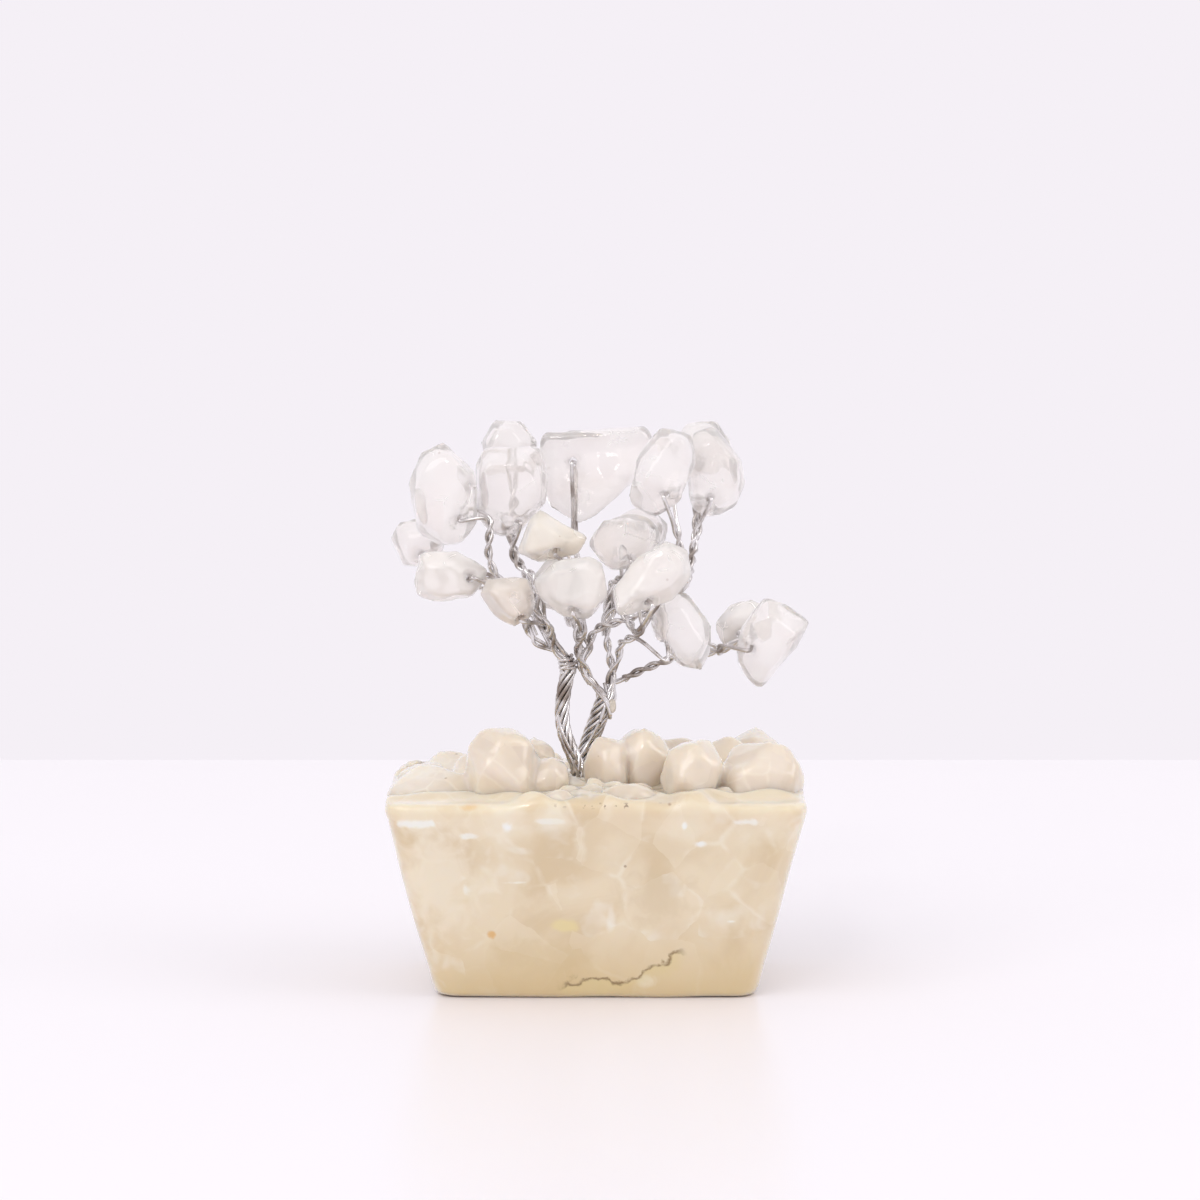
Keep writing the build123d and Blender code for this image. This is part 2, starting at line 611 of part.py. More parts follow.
# Trunk and limbs
floor = GROUND - ROOT_DEPTH
group(rope(trunk_line(TRUNK_LEFT), LEFT_CORE, LEFT_RING, ROPE_PITCH, ROPE_STEPS, floor), "trunk_left")
group(rope(trunk_line(TRUNK_RIGHT), RIGHT_CORE, RIGHT_RING, ROPE_PITCH, ROPE_STEPS, floor), "trunk_right")
group(rope(route([above(*p) for p in LIMB_LEFT]), 0, LIMB_RING, ROPE_PITCH, ROPE_STEPS), "limb_left")
pairs = (("branch_middle", BRANCH_MIDDLE), ("branch_right", BRANCH_RIGHT), ("limb_low", LIMB_LOW))
for name, points in pairs:
    group(rope(route([above(*p) for p in points]), 0, 2, PAIR_PITCH, PAIR_STEPS), name)

# Twigs and leaf stones
leaves = LEAVES_LEFT + LEAVES_CROWN + LEAVES_LOW
leaf_stones = [leaf.stone() for leaf in leaves]
neighbours = clear_of(leaf_stones, LEAF_GAP)
for number, (leaf, stone, near) in enumerate(zip(leaves, leaf_stones, neighbours)):
    with BuildPart() as drilled:
        add(cut(stone, leaf.outline_cuts(number * LEAF_STEP) + near + leaf.leg_cuts()))
        with Locations(Plane(origin=leaf.hole(), z_dir=leaf.frame()[1])):
            Cylinder(BORE / 2, ROUGH, mode=Mode.SUBTRACT)
    write(drilled.part, f"leaf_{leaf.name}")
    write(leaf.twig(), f"twig_{leaf.name}")
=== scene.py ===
# %% [markdown]
# A gemstone tree: drilled quartz chips hang on loops of twisted silver wire, and the wire stands in a
# cast block of resin that is full of the same chips. The CAD model gives every piece its size and place.
# This lesson dresses it: angular solids become tumbled stones, round wire and cloudy resin.

# %% Load the frame
import json
import math

import bmesh
import bpy
from mathutils import Matrix, Vector, noise
from mathutils.bvhtree import BVHTree
from mathutils.kdtree import KDTree


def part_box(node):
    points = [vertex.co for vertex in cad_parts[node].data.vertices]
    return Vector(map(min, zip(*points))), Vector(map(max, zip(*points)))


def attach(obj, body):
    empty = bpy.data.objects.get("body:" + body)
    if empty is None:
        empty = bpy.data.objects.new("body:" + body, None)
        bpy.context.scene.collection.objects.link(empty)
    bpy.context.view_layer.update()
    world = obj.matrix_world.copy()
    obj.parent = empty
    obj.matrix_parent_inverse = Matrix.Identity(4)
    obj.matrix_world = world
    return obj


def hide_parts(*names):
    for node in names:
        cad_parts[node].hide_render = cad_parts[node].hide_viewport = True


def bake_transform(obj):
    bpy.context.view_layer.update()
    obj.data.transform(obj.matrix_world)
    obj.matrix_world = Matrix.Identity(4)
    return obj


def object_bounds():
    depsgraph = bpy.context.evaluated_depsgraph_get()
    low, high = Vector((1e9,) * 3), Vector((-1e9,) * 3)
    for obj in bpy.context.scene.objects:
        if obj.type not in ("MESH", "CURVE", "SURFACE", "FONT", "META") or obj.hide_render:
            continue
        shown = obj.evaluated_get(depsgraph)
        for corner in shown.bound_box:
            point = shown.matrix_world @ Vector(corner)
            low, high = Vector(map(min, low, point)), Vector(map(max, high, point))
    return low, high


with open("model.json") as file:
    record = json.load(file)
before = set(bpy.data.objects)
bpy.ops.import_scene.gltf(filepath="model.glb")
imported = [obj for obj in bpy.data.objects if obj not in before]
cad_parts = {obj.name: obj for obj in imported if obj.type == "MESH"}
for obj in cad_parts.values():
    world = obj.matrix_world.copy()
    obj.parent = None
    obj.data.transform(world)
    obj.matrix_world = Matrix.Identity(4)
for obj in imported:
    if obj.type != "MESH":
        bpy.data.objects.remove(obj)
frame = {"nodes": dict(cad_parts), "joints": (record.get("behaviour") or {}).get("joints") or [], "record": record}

CAD_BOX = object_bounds()
MM = 0.001
print("CAD box in mm:", [[round(c / MM, 1) for c in corner] for corner in CAD_BOX])

# %% [markdown]
# Every piece starts as a copy of its CAD node. That mesh is loose triangles, so the copy is welded first.
# The joints of the record say which body a stone turns with and where its hole runs.

# %% Names of the pieces
BODY_OF = {node: body for body, nodes in frame["record"]["behaviour"]["bodies"].items() for node in nodes}
LEAVES = [node for node in BODY_OF if node.startswith("leaf_")]
TOPPINGS = [node for node in BODY_OF if node.startswith("topping_")]
LIMBS = ("left_limb", "crown_limb", "low_limb")
HOLE_OF = {joint["child"]: joint for joint in frame["joints"]}
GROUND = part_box("resin_base")[1].z
print(len(LEAVES), "leaf stones and", len(TOPPINGS), "groups of topping stones")
print("ground at", round(GROUND / MM, 1), "mm")


# %% Copies of CAD nodes
WELD = 0.002 * MM


def welded_copy(*nodes):
    """One bmesh with the welded triangles of these CAD nodes."""
    bm = bmesh.new()
    for node in nodes:
        bm.from_mesh(frame["nodes"][node].data)
    bmesh.ops.remove_doubles(bm, verts=bm.verts, dist=WELD)
    return bm


def above(x, y, z):
    """A place in millimetres from the middle of the block's top face, in the frame's metres."""
    return Vector((x, y, z)) * MM + Vector((0, 0, GROUND))


def piece(bm, name, material, replaced=()):
    """The finished object of a bmesh, smooth shaded, at the origin."""
    for face in bm.faces:
        face.smooth = True
    mesh = bpy.data.meshes.new(name)
    bm.to_mesh(mesh)
    bm.free()
    made = bpy.data.objects.new(name, mesh)
    bpy.context.scene.collection.objects.link(made)
    mesh.materials.append(material)
    if replaced:
        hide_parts(*replaced)
    return made


# %% [markdown]
# Materials come next. Each one is a Principled shader with patterns on Object coordinates, so a pattern stays
# on its piece when a limb is bent. What several finishes share, such as cloudy veils, is a node group.

# %% Node helpers
def shader_nodes(tree):
    """The nodes and links of a cleared node tree."""
    tree.nodes.clear()
    return tree.nodes, tree.links


def pale(red, green, blue):
    """A colour written as it looks on a screen, 0 to 255, in the linear values that shaders take."""
    def linear(value):
        part = value / 255
        return part / 12.92 if part <= 0.04045 else ((part + 0.055) / 1.055) ** 2.4
    return (linear(red), linear(green), linear(blue), 1.0)


def new_group(name, inputs, outputs):
    """An empty shader node group with named sockets."""
    group = bpy.data.node_groups.new(name, "ShaderNodeTree")
    for label, kind, value in inputs:
        socket = group.interface.new_socket(label, in_out="INPUT", socket_type=kind)
        socket.default_value = value
    for label, kind in outputs:
        group.interface.new_socket(label, in_out="OUTPUT", socket_type=kind)
    return group, group.nodes.new("NodeGroupInput"), group.nodes.new("NodeGroupOutput")


def noise_node(nodes, links, vector, scale, detail=3.0, distortion=0.0):
    """The value of a noise texture at a place."""
    made = nodes.new("ShaderNodeTexNoise")
    made.inputs["Scale"].default_value = scale
    made.inputs["Detail"].default_value = detail
    made.inputs["Distortion"].default_value = distortion
    links.new(vector, made.inputs["Vector"])
    return made.outputs["Fac"]


def spread(nodes, links, value, low, high, to_low=0.0, to_high=1.0):
    """A smooth step of a value."""
    made = nodes.new("ShaderNodeMapRange")
    made.interpolation_type = "SMOOTHSTEP"
    for label, setting in (("From Min", low), ("From Max", high), ("To Min", to_low), ("To Max", to_high)):
        made.inputs[label].default_value = setting
    links.new(value, made.inputs["Value"])
    return made.outputs["Result"]


def combine(nodes, links, kind, first, second):
    """Two values through one Math node."""
    made = nodes.new("ShaderNodeMath")
    made.operation = kind
    made.use_clamp = kind == "MAXIMUM"
    for socket, setting in zip(made.inputs, (first, second)):
        if hasattr(setting, "links"):
            links.new(setting, socket)
        else:
            socket.default_value = setting
    return made.outputs["Value"]


def colour_mix(nodes, links, share, first, second):
    """A colour between two others."""
    made = nodes.new("ShaderNodeMix")
    made.data_type = "RGBA"
    links.new(share, made.inputs["Factor"])
    for label, setting in (("A", first), ("B", second)):
        socket = next(s for s in made.inputs if s.name == label and s.type == "RGBA")
        if hasattr(setting, "links"):
            links.new(setting, socket)
        else:
            socket.default_value = setting
    return next(s for s in made.outputs if s.type == "RGBA")


def principled(name, **constants):
    """A material with one Principled shader, its constants set on its own sockets."""
    made = bpy.data.materials.new(name)
    made.use_nodes = True
    nodes, links = shader_nodes(made.node_tree)
    out = nodes.new("ShaderNodeOutputMaterial")
    shader = nodes.new("ShaderNodeBsdfPrincipled")
    links.new(shader.outputs["BSDF"], out.inputs["Surface"])
    for label, value in constants.items():
        shader.inputs[label.replace("_", " ")].default_value = value
    return made, nodes, links, shader


def place_group(nodes, group, **values):
    """A node group set in a material, with values for its sockets."""
    made = nodes.new("ShaderNodeGroup")
    made.node_tree = group
    for label, value in values.items():
        made.inputs[label.replace("_", " ")].default_value = value
    return made


# Painted rim light: the base colour turns paler where a face turns away from the view.
EDGE_BLEND, EDGE_START, EDGE_FULL = 0.42, 0.25, 0.95


def painted_rim_light(nodes, links, tone, colour, share):
    """The tone with a painted paler edge: painted rim light where light would leave the thin side of a clear body.
    """
    facing = nodes.new("ShaderNodeLayerWeight")
    facing.inputs["Blend"].default_value = EDGE_BLEND
    rim = spread(nodes, links, facing.outputs["Facing"], EDGE_START, EDGE_FULL, 0.0, share)
    return colour_mix(nodes, links, rim, tone, colour)


def relief(nodes, links, shader, height, strength, depth):
    """A bump from a height in the pattern to the shader's normal."""
    bump = nodes.new("ShaderNodeBump")
    bump.inputs["Strength"].default_value = strength
    bump.inputs["Distance"].default_value = depth
    links.new(height, bump.inputs["Height"])
    links.new(bump.outputs["Normal"], shader.inputs["Normal"])


# %% [markdown]
# Quartz and resin both show broken pieces inside. Bent cells of a Voronoi texture stand for them: each cell
# has its own tone and a thin bright outline, some carry a painted glint, white where a face would mirror the
# light, and a few grains are dark. Quartz in the stones uses small cells, and the block uses cells as large as
# the chips cast in it.


# %% Broken pieces inside
def make_pieces():
    group, given, result = new_group(
        "inner_pieces", [("Scale", "NodeSocketFloat", 200.0), ("Bend", "NodeSocketFloat", 0.003)],
        [("Tone", "NodeSocketFloat"), ("Outline", "NodeSocketFloat"), ("Painted Glint", "NodeSocketFloat"),
         ("Grain", "NodeSocketFloat")])
    nodes, links = group.nodes, group.links
    place = nodes.new("ShaderNodeTexCoord").outputs["Object"]
    drift = nodes.new("ShaderNodeTexNoise")
    drift.inputs["Scale"].default_value = 150.0
    drift.inputs["Detail"].default_value = 4.0
    links.new(place, drift.inputs["Vector"])
    bent = nodes.new("ShaderNodeVectorMath")
    bent.operation = "MULTIPLY_ADD"
    links.new(drift.outputs["Color"], bent.inputs[0])
    links.new(given.outputs["Bend"], bent.inputs[1])
    links.new(place, bent.inputs[2])
    cells = {}
    for feature in ("F1", "DISTANCE_TO_EDGE"):
        cells[feature] = nodes.new("ShaderNodeTexVoronoi")
        cells[feature].feature = feature
        links.new(bent.outputs["Vector"], cells[feature].inputs["Vector"])
        links.new(given.outputs["Scale"], cells[feature].inputs["Scale"])
    cell = nodes.new("ShaderNodeSeparateColor")
    links.new(cells["F1"].outputs["Color"], cell.inputs["Color"])
    links.new(cell.outputs["Red"], result.inputs["Tone"])
    line = spread(nodes, links, cells["DISTANCE_TO_EDGE"].outputs["Distance"], 0.0, 0.08, 1.0, 0.0)
    shown = spread(nodes, links, noise_node(nodes, links, place, 240.0, 3.0), 0.48, 0.64)
    links.new(combine(nodes, links, "MULTIPLY", line, shown), result.inputs["Outline"])
    # Painted glint: white patches on some cells, where a face would mirror the light.
    gleam = noise_node(nodes, links, bent.outputs["Vector"], 300.0, 2.0, 0.4)
    gleam = spread(nodes, links, gleam, 0.54, 0.72)
    lit = spread(nodes, links, cell.outputs["Green"], 0.60, 0.72)
    links.new(combine(nodes, links, "MULTIPLY", gleam, lit), result.inputs["Painted Glint"])
    grains = nodes.new("ShaderNodeTexVoronoi")
    grains.inputs["Scale"].default_value = 480.0
    links.new(place, grains.inputs["Vector"])
    pick = nodes.new("ShaderNodeSeparateColor")
    links.new(grains.outputs["Color"], pick.inputs["Color"])
    dot = spread(nodes, links, grains.outputs["Distance"], 0.04, 0.10, 1.0, 0.0)
    few = spread(nodes, links, pick.outputs["Blue"], 0.86, 0.90)
    links.new(combine(nodes, links, "MULTIPLY", dot, few), result.inputs["Grain"])
    return group


PIECES = make_pieces()
print("inner pieces group:", len(PIECES.nodes), "nodes")

# %% [markdown]
# A clear chip lets most light through. Where it is cracked it is white, and where water has left iron it is
# warm. The broad clouds come from one more noise, and they also make the face duller.


# %% Quartz finishes
QUARTZ_BENDING = 1.19
STONE_PIECES, STONE_BEND = 300.0, 0.002
# The second colour on the next line is the painted rim light.
STONE_GRAIN, STONE_PAINTED_RIM = pale(176, 150, 136), pale(255, 255, 255)


def quartz(name, clear, milky, warm, clearness, milk, gloss):
    """Tumbled quartz: a clear tone, a milky one and a warm stain, and how much light goes through."""
    made, nodes, links, shader = principled(name, Transmission_Weight=clearness, IOR=QUARTZ_BENDING,
                                            Coat_Weight=1.0)
    place = nodes.new("ShaderNodeTexCoord").outputs["Object"]
    stain = spread(nodes, links, noise_node(nodes, links, place, 110.0, 3.0), 0.45, 0.68)
    tone = colour_mix(nodes, links, stain, clear, warm)
    inner = place_group(nodes, PIECES, Scale=STONE_PIECES, Bend=STONE_BEND)
    cloud = spread(nodes, links, noise_node(nodes, links, place, 190.0, 5.0, 0.6), 0.40, 0.72, 0.0, milk)
    facet = spread(nodes, links, inner.outputs["Tone"], 0.3, 1.0, 0.0, 0.8)
    crease = combine(nodes, links, "MULTIPLY", inner.outputs["Outline"], 0.9)
    broad = combine(nodes, links, "MAXIMUM", cloud, facet)
    # Painted glints join the real white cracks here, and the milky tone paints them along with the veils.
    fine = combine(nodes, links, "MAXIMUM", inner.outputs["Painted Glint"], crease)
    veil_and_glints = combine(nodes, links, "MAXIMUM", broad, fine)
    tone = colour_mix(nodes, links, veil_and_glints, tone, milky)
    share = combine(nodes, links, "MULTIPLY", inner.outputs["Grain"], 0.6)
    tone = colour_mix(nodes, links, share, tone, STONE_GRAIN)
    # The paler edge is painted rim light.
    links.new(painted_rim_light(nodes, links, tone, STONE_PAINTED_RIM, 0.8), shader.inputs["Base Color"])
    links.new(spread(nodes, links, veil_and_glints, 0.0, 1.0, gloss, gloss + 0.25), shader.inputs["Roughness"])
    relief(nodes, links, shader, noise_node(nodes, links, place, 620.0, 3.0), 0.25, 0.08 * MM)
    return made


clear_quartz = quartz("clear_quartz", pale(254, 250, 248), pale(255, 253, 250), pale(253, 247, 243),
                      clearness=0.74, milk=0.8, gloss=0.04)
milky_quartz = quartz("milky_quartz", pale(251, 246, 242), pale(255, 252, 248), pale(251, 243, 236),
                      clearness=0.50, milk=0.9, gloss=0.05)
honey_quartz = quartz("honey_quartz", pale(250, 242, 229), pale(252, 247, 239), pale(247, 236, 218),
                      clearness=0.50, milk=0.7, gloss=0.06)
beige_quartz = quartz("beige_quartz", pale(243, 233, 222), pale(249, 242, 235), pale(240, 227, 212),
                      clearness=0.50, milk=0.7, gloss=0.07)
cast_quartz = quartz("cast_quartz", pale(250, 243, 226), pale(255, 252, 244), pale(246, 232, 204),
                     clearness=0.30, milk=0.8, gloss=0.18)

# %% [markdown]
# The wire is bright where fingers have rubbed it and brown-grey where it has tarnished. A second group gives
# that tarnish, with fine streaks that break up the reflections as drawn wire does.


# %% Tarnished silver wire
def make_tarnish():
    group, given, result = new_group(
        "wire_tarnish", [("Amount", "NodeSocketFloat", 0.5)],
        [("Tarnish", "NodeSocketFloat"), ("Streaks", "NodeSocketFloat")])
    nodes, links = group.nodes, group.links
    place = nodes.new("ShaderNodeTexCoord").outputs["Object"]
    patches = spread(nodes, links, noise_node(nodes, links, place, 380.0, 4.0, 0.4), 0.40, 0.72)
    links.new(combine(nodes, links, "MULTIPLY", patches, given.outputs["Amount"]), result.inputs["Tarnish"])
    links.new(noise_node(nodes, links, place, 2600.0, 2.0, 0.5), result.inputs["Streaks"])
    return group


TARNISH = make_tarnish()


def silver(name, bright, dull, amount):
    made, nodes, links, shader = principled(name, Metallic=1.0)
    worn = place_group(nodes, TARNISH, Amount=amount)
    links.new(colour_mix(nodes, links, worn.outputs["Tarnish"], bright, dull), shader.inputs["Base Color"])
    links.new(spread(nodes, links, worn.outputs["Tarnish"], 0.0, 1.0, 0.17, 0.45), shader.inputs["Roughness"])
    relief(nodes, links, shader, worn.outputs["Streaks"], 0.25, 0.02 * MM)
    return made


silver_wire = silver("silver_wire", pale(224, 222, 221), pale(126, 111, 98), 0.85)
print("finishes so far:", [m.name for m in bpy.data.materials])

# %% [markdown]
# The resin is cream and cloudy, with the pale chips showing through it. Single spots are painted on this block:
# white flashes along the front, which are painted glints, and marks it has, such as a yellow inclusion and an
# orange speck. Each one is a ragged ball in the resin.


# %% Spots in resin
def make_spot():
    group, given, result = new_group(
        "resin_spot",
        [("Centre", "NodeSocketVector", (0, 0, 0)), ("Size", "NodeSocketVector", (1, 1, 1)),
         ("Ragged", "NodeSocketFloat", 0.5), ("Strength", "NodeSocketFloat", 1.0)],
        [("Mask", "NodeSocketFloat")])
    nodes, links = group.nodes, group.links
    place = nodes.new("ShaderNodeTexCoord").outputs["Object"]
    away = nodes.new("ShaderNodeVectorMath")
    away.operation = "SUBTRACT"
    links.new(place, away.inputs[0])
    links.new(given.outputs["Centre"], away.inputs[1])
    shares = nodes.new("ShaderNodeVectorMath")
    shares.operation = "DIVIDE"
    links.new(away.outputs["Vector"], shares.inputs[0])
    links.new(given.outputs["Size"], shares.inputs[1])
    reach = nodes.new("ShaderNodeVectorMath")
    reach.operation = "LENGTH"
    links.new(shares.outputs["Vector"], reach.inputs[0])
    rough = noise_node(nodes, links, place, 520.0, 5.0, 0.6)
    swing = combine(nodes, links, "SUBTRACT", rough, 0.5)
    edge = combine(nodes, links, "MULTIPLY", swing, given.outputs["Ragged"])
    total = combine(nodes, links, "ADD", reach.outputs["Value"], edge)
    shape = spread(nodes, links, total, 0.3, 1.1, 1.0, 0.0)
    links.new(combine(nodes, links, "MULTIPLY", shape, given.outputs["Strength"]), result.inputs["Mask"])
    return group


SPOT = make_spot()


# %% [markdown]
# A crack runs along the foot of the front and climbs to the right. Its height is a step of the place across
# the block, a noise makes it ragged, and it shows only on the front face.

# %% Crack near the foot
CRACK_LOW, CRACK_CLIMB, CRACK_WIDTH = 1.9 * MM, 2.9 * MM, 0.42 * MM


def make_crack():
    group, _, result = new_group(
        "resin_crack", [], [("Mask", "NodeSocketFloat"), ("Below", "NodeSocketFloat")])
    nodes, links = group.nodes, group.links
    place = nodes.new("ShaderNodeTexCoord").outputs["Object"]
    axes = nodes.new("ShaderNodeSeparateXYZ")
    links.new(place, axes.inputs["Vector"])
    climb = spread(nodes, links, axes.outputs["X"], 2.4 * MM, 9.0 * MM, CRACK_LOW, CRACK_LOW + CRACK_CLIMB)
    wander = noise_node(nodes, links, place, 480.0, 5.0)
    ragged = spread(nodes, links, wander, 0.2, 0.8, -0.9 * MM, 0.9 * MM)
    line = combine(nodes, links, "ADD", climb, ragged)
    gap = combine(nodes, links, "SUBTRACT", axes.outputs["Z"], line)
    dark = spread(nodes, links, combine(nodes, links, "ABSOLUTE", gap, 0.0), 0.0, CRACK_WIDTH, 1.0, 0.0)
    front = spread(nodes, links, axes.outputs["Y"], -9.0 * MM, -8.0 * MM, 1.0, 0.0)
    left = spread(nodes, links, axes.outputs["X"], -4.2 * MM, -2.6 * MM)
    right = spread(nodes, links, axes.outputs["X"], 8.0 * MM, 9.6 * MM, 1.0, 0.0)
    ends = combine(nodes, links, "MULTIPLY", combine(nodes, links, "MULTIPLY", left, right), front)
    broken = spread(nodes, links, noise_node(nodes, links, place, 900.0, 3.0), 0.34, 0.56, 0.15, 0.85)
    whole = combine(nodes, links, "MULTIPLY", dark, ends)
    links.new(combine(nodes, links, "MULTIPLY", whole, broken), result.inputs["Mask"])
    under = spread(nodes, links, gap, -2.4 * MM, -0.2 * MM)
    cut_off = spread(nodes, links, gap, -0.1 * MM, 0.1 * MM, 1.0, 0.0)
    below = combine(nodes, links, "MULTIPLY", under, cut_off)
    links.new(combine(nodes, links, "MULTIPLY", below, ends), result.inputs["Below"])
    return group


CRACK = make_crack()

# %% [markdown]
# These are the single marks of this block: where each one lies, how large it is and what colour it has.
# The white flashes are painted glints, and the side chip and the long chip are real chips with a painted glint.

# %% Marks of this block
# The white of the painted glints, where a face would mirror the light.
PAINTED_GLINT_WHITE = pale(254, 253, 249)
RESIN_MARKS = (
    ("pale left side", (-16.0, -12.5, 13.0), (5.5, 4.0, 8.0), 1.5, 0.85, pale(247, 235, 214)),
    ("left pebble seen through", (-16.5, -14.5, 19.5), (4.6, 3.0, 2.6), 1.2, 0.5, pale(247, 237, 218)),
    ("tall pebble seen through", (-9.0, -14.5, 19.5), (3.4, 3.0, 3.4), 1.2, 0.5, pale(248, 239, 222)),
    ("middle pebble seen through", (-4.2, -14.5, 19.6), (2.6, 3.0, 2.0), 1.2, 0.6, pale(250, 242, 226)),
    ("right pebble seen through", (9.5, -14.5, 19.2), (3.2, 3.0, 3.0), 1.2, 0.5, pale(247, 237, 218)),
    ("last pebble seen through", (16.6, -14.5, 19.2), (4.4, 3.0, 3.4), 1.2, 0.5, pale(248, 238, 218)),
    ("left rim flash", (-18.1, -14.3, 19.0), (2.3, 2.5, 0.45), 2.5, 0.85, PAINTED_GLINT_WHITE),
    ("left flash", (-12.7, -14.0, 17.7), (0.9, 2.5, 0.35), 3.0, 0.7, PAINTED_GLINT_WHITE),
    ("round flash", (-8.9, -14.3, 18.7), (0.75, 2.5, 0.7), 2.0, 0.95, PAINTED_GLINT_WHITE),
    ("middle flash", (-4.7, -14.4, 19.3), (1.9, 2.5, 0.35), 2.5, 0.5, PAINTED_GLINT_WHITE),
    ("right flash", (9.0, -14.3, 18.8), (0.4, 2.5, 0.6), 2.0, 0.95, PAINTED_GLINT_WHITE),
    ("slanting flash", (10.6, -13.7, 16.9), (0.8, 2.5, 0.4), 2.5, 0.9, PAINTED_GLINT_WHITE),
    ("right rim flash", (15.0, -14.4, 19.2), (1.8, 2.5, 0.4), 3.0, 0.7, PAINTED_GLINT_WHITE),
    ("side chip, painted glint", (-13.3, -12.6, 12.2), (0.55, 2.5, 1.3), 2.5, 0.6, PAINTED_GLINT_WHITE),
    ("low flash", (-8.0, -12.7, 12.7), (1.7, 2.5, 0.22), 2.5, 0.6, PAINTED_GLINT_WHITE),
    ("long chip, painted glint", (1.6, -12.0, 8.8), (0.5, 2.5, 2.0), 1.5, 0.4, PAINTED_GLINT_WHITE),
    ("small flash", (14.0, -11.6, 8.5), (0.7, 2.5, 0.25), 2.0, 0.85, PAINTED_GLINT_WHITE),
    ("grey patch", (6.0, -12.5, 11.0), (5.0, 2.5, 3.6), 2.5, 0.45, pale(224, 206, 174)),
    ("grey patch, low", (-6.0, -11.0, 4.5), (5.0, 2.5, 2.4), 2.5, 0.4, pale(222, 201, 160)),
    ("yellow inclusion", (-3.1, -11.5, 8.0), (1.8, 2.5, 0.95), 1.4, 0.8, pale(240, 225, 170)),
    ("orange speck", (-10.6, -11.3, 7.1), (0.45, 2.5, 0.5), 2.5, 0.8, pale(230, 182, 108)),
    ("orange rim stain", (-12.6, -14.8, 20.8), (0.9, 2.5, 0.4), 3.0, 0.6, pale(232, 196, 140)),
    ("chip under the crack", (5.1, -10.2, 1.9), (1.3, 2.5, 0.9), 1.5, 0.8, pale(247, 240, 222)),
    ("red speck", (7.5, -14.8, 21.1), (0.3, 1.2, 0.3), 1.5, 0.9, pale(132, 70, 62)),
)

# %% [markdown]
# The resin lets a little light in and scatters it under the surface, which softens its shading. It is
# yellower near the foot. Pebbles have the same finish with smaller pieces inside, because a coat of the same
# resin lies on them.

# %% Cream resin
RESIN_DARK, RESIN_LIGHT = pale(227, 207, 173), pale(240, 225, 198)
PEBBLE_DARK, PEBBLE_LIGHT = pale(214, 198, 178), pale(234, 221, 208)
BLOCK_PIECES, PEBBLE_PIECES = 200.0, 320.0
BLOCK_TIP, PEBBLE_TIP = pale(229, 211, 186), pale(234, 221, 207)
RIM_LINE_PLACE, RIM_LINE_SIZE = (4.0, -14.8, 20.9), (10.5, 1.6, 0.4)
CHIP_TONE, CHIP_OUTLINE = pale(244, 231, 207), pale(250, 243, 228)
FOOT_TONE, FOOT_HEIGHT = pale(222, 198, 148), 9.0 * MM
CRACK_TONE, UNDER_CRACK = pale(142, 116, 76), pale(230, 212, 158)
# On the next line, the last colour is the painted rim light, and the first is the tone of a darker line along the
# front rim.
RIM_LINE_TONE, RESIN_GRAIN, RESIN_PAINTED_RIM = pale(132, 106, 92), pale(168, 140, 112), pale(253, 247, 236)


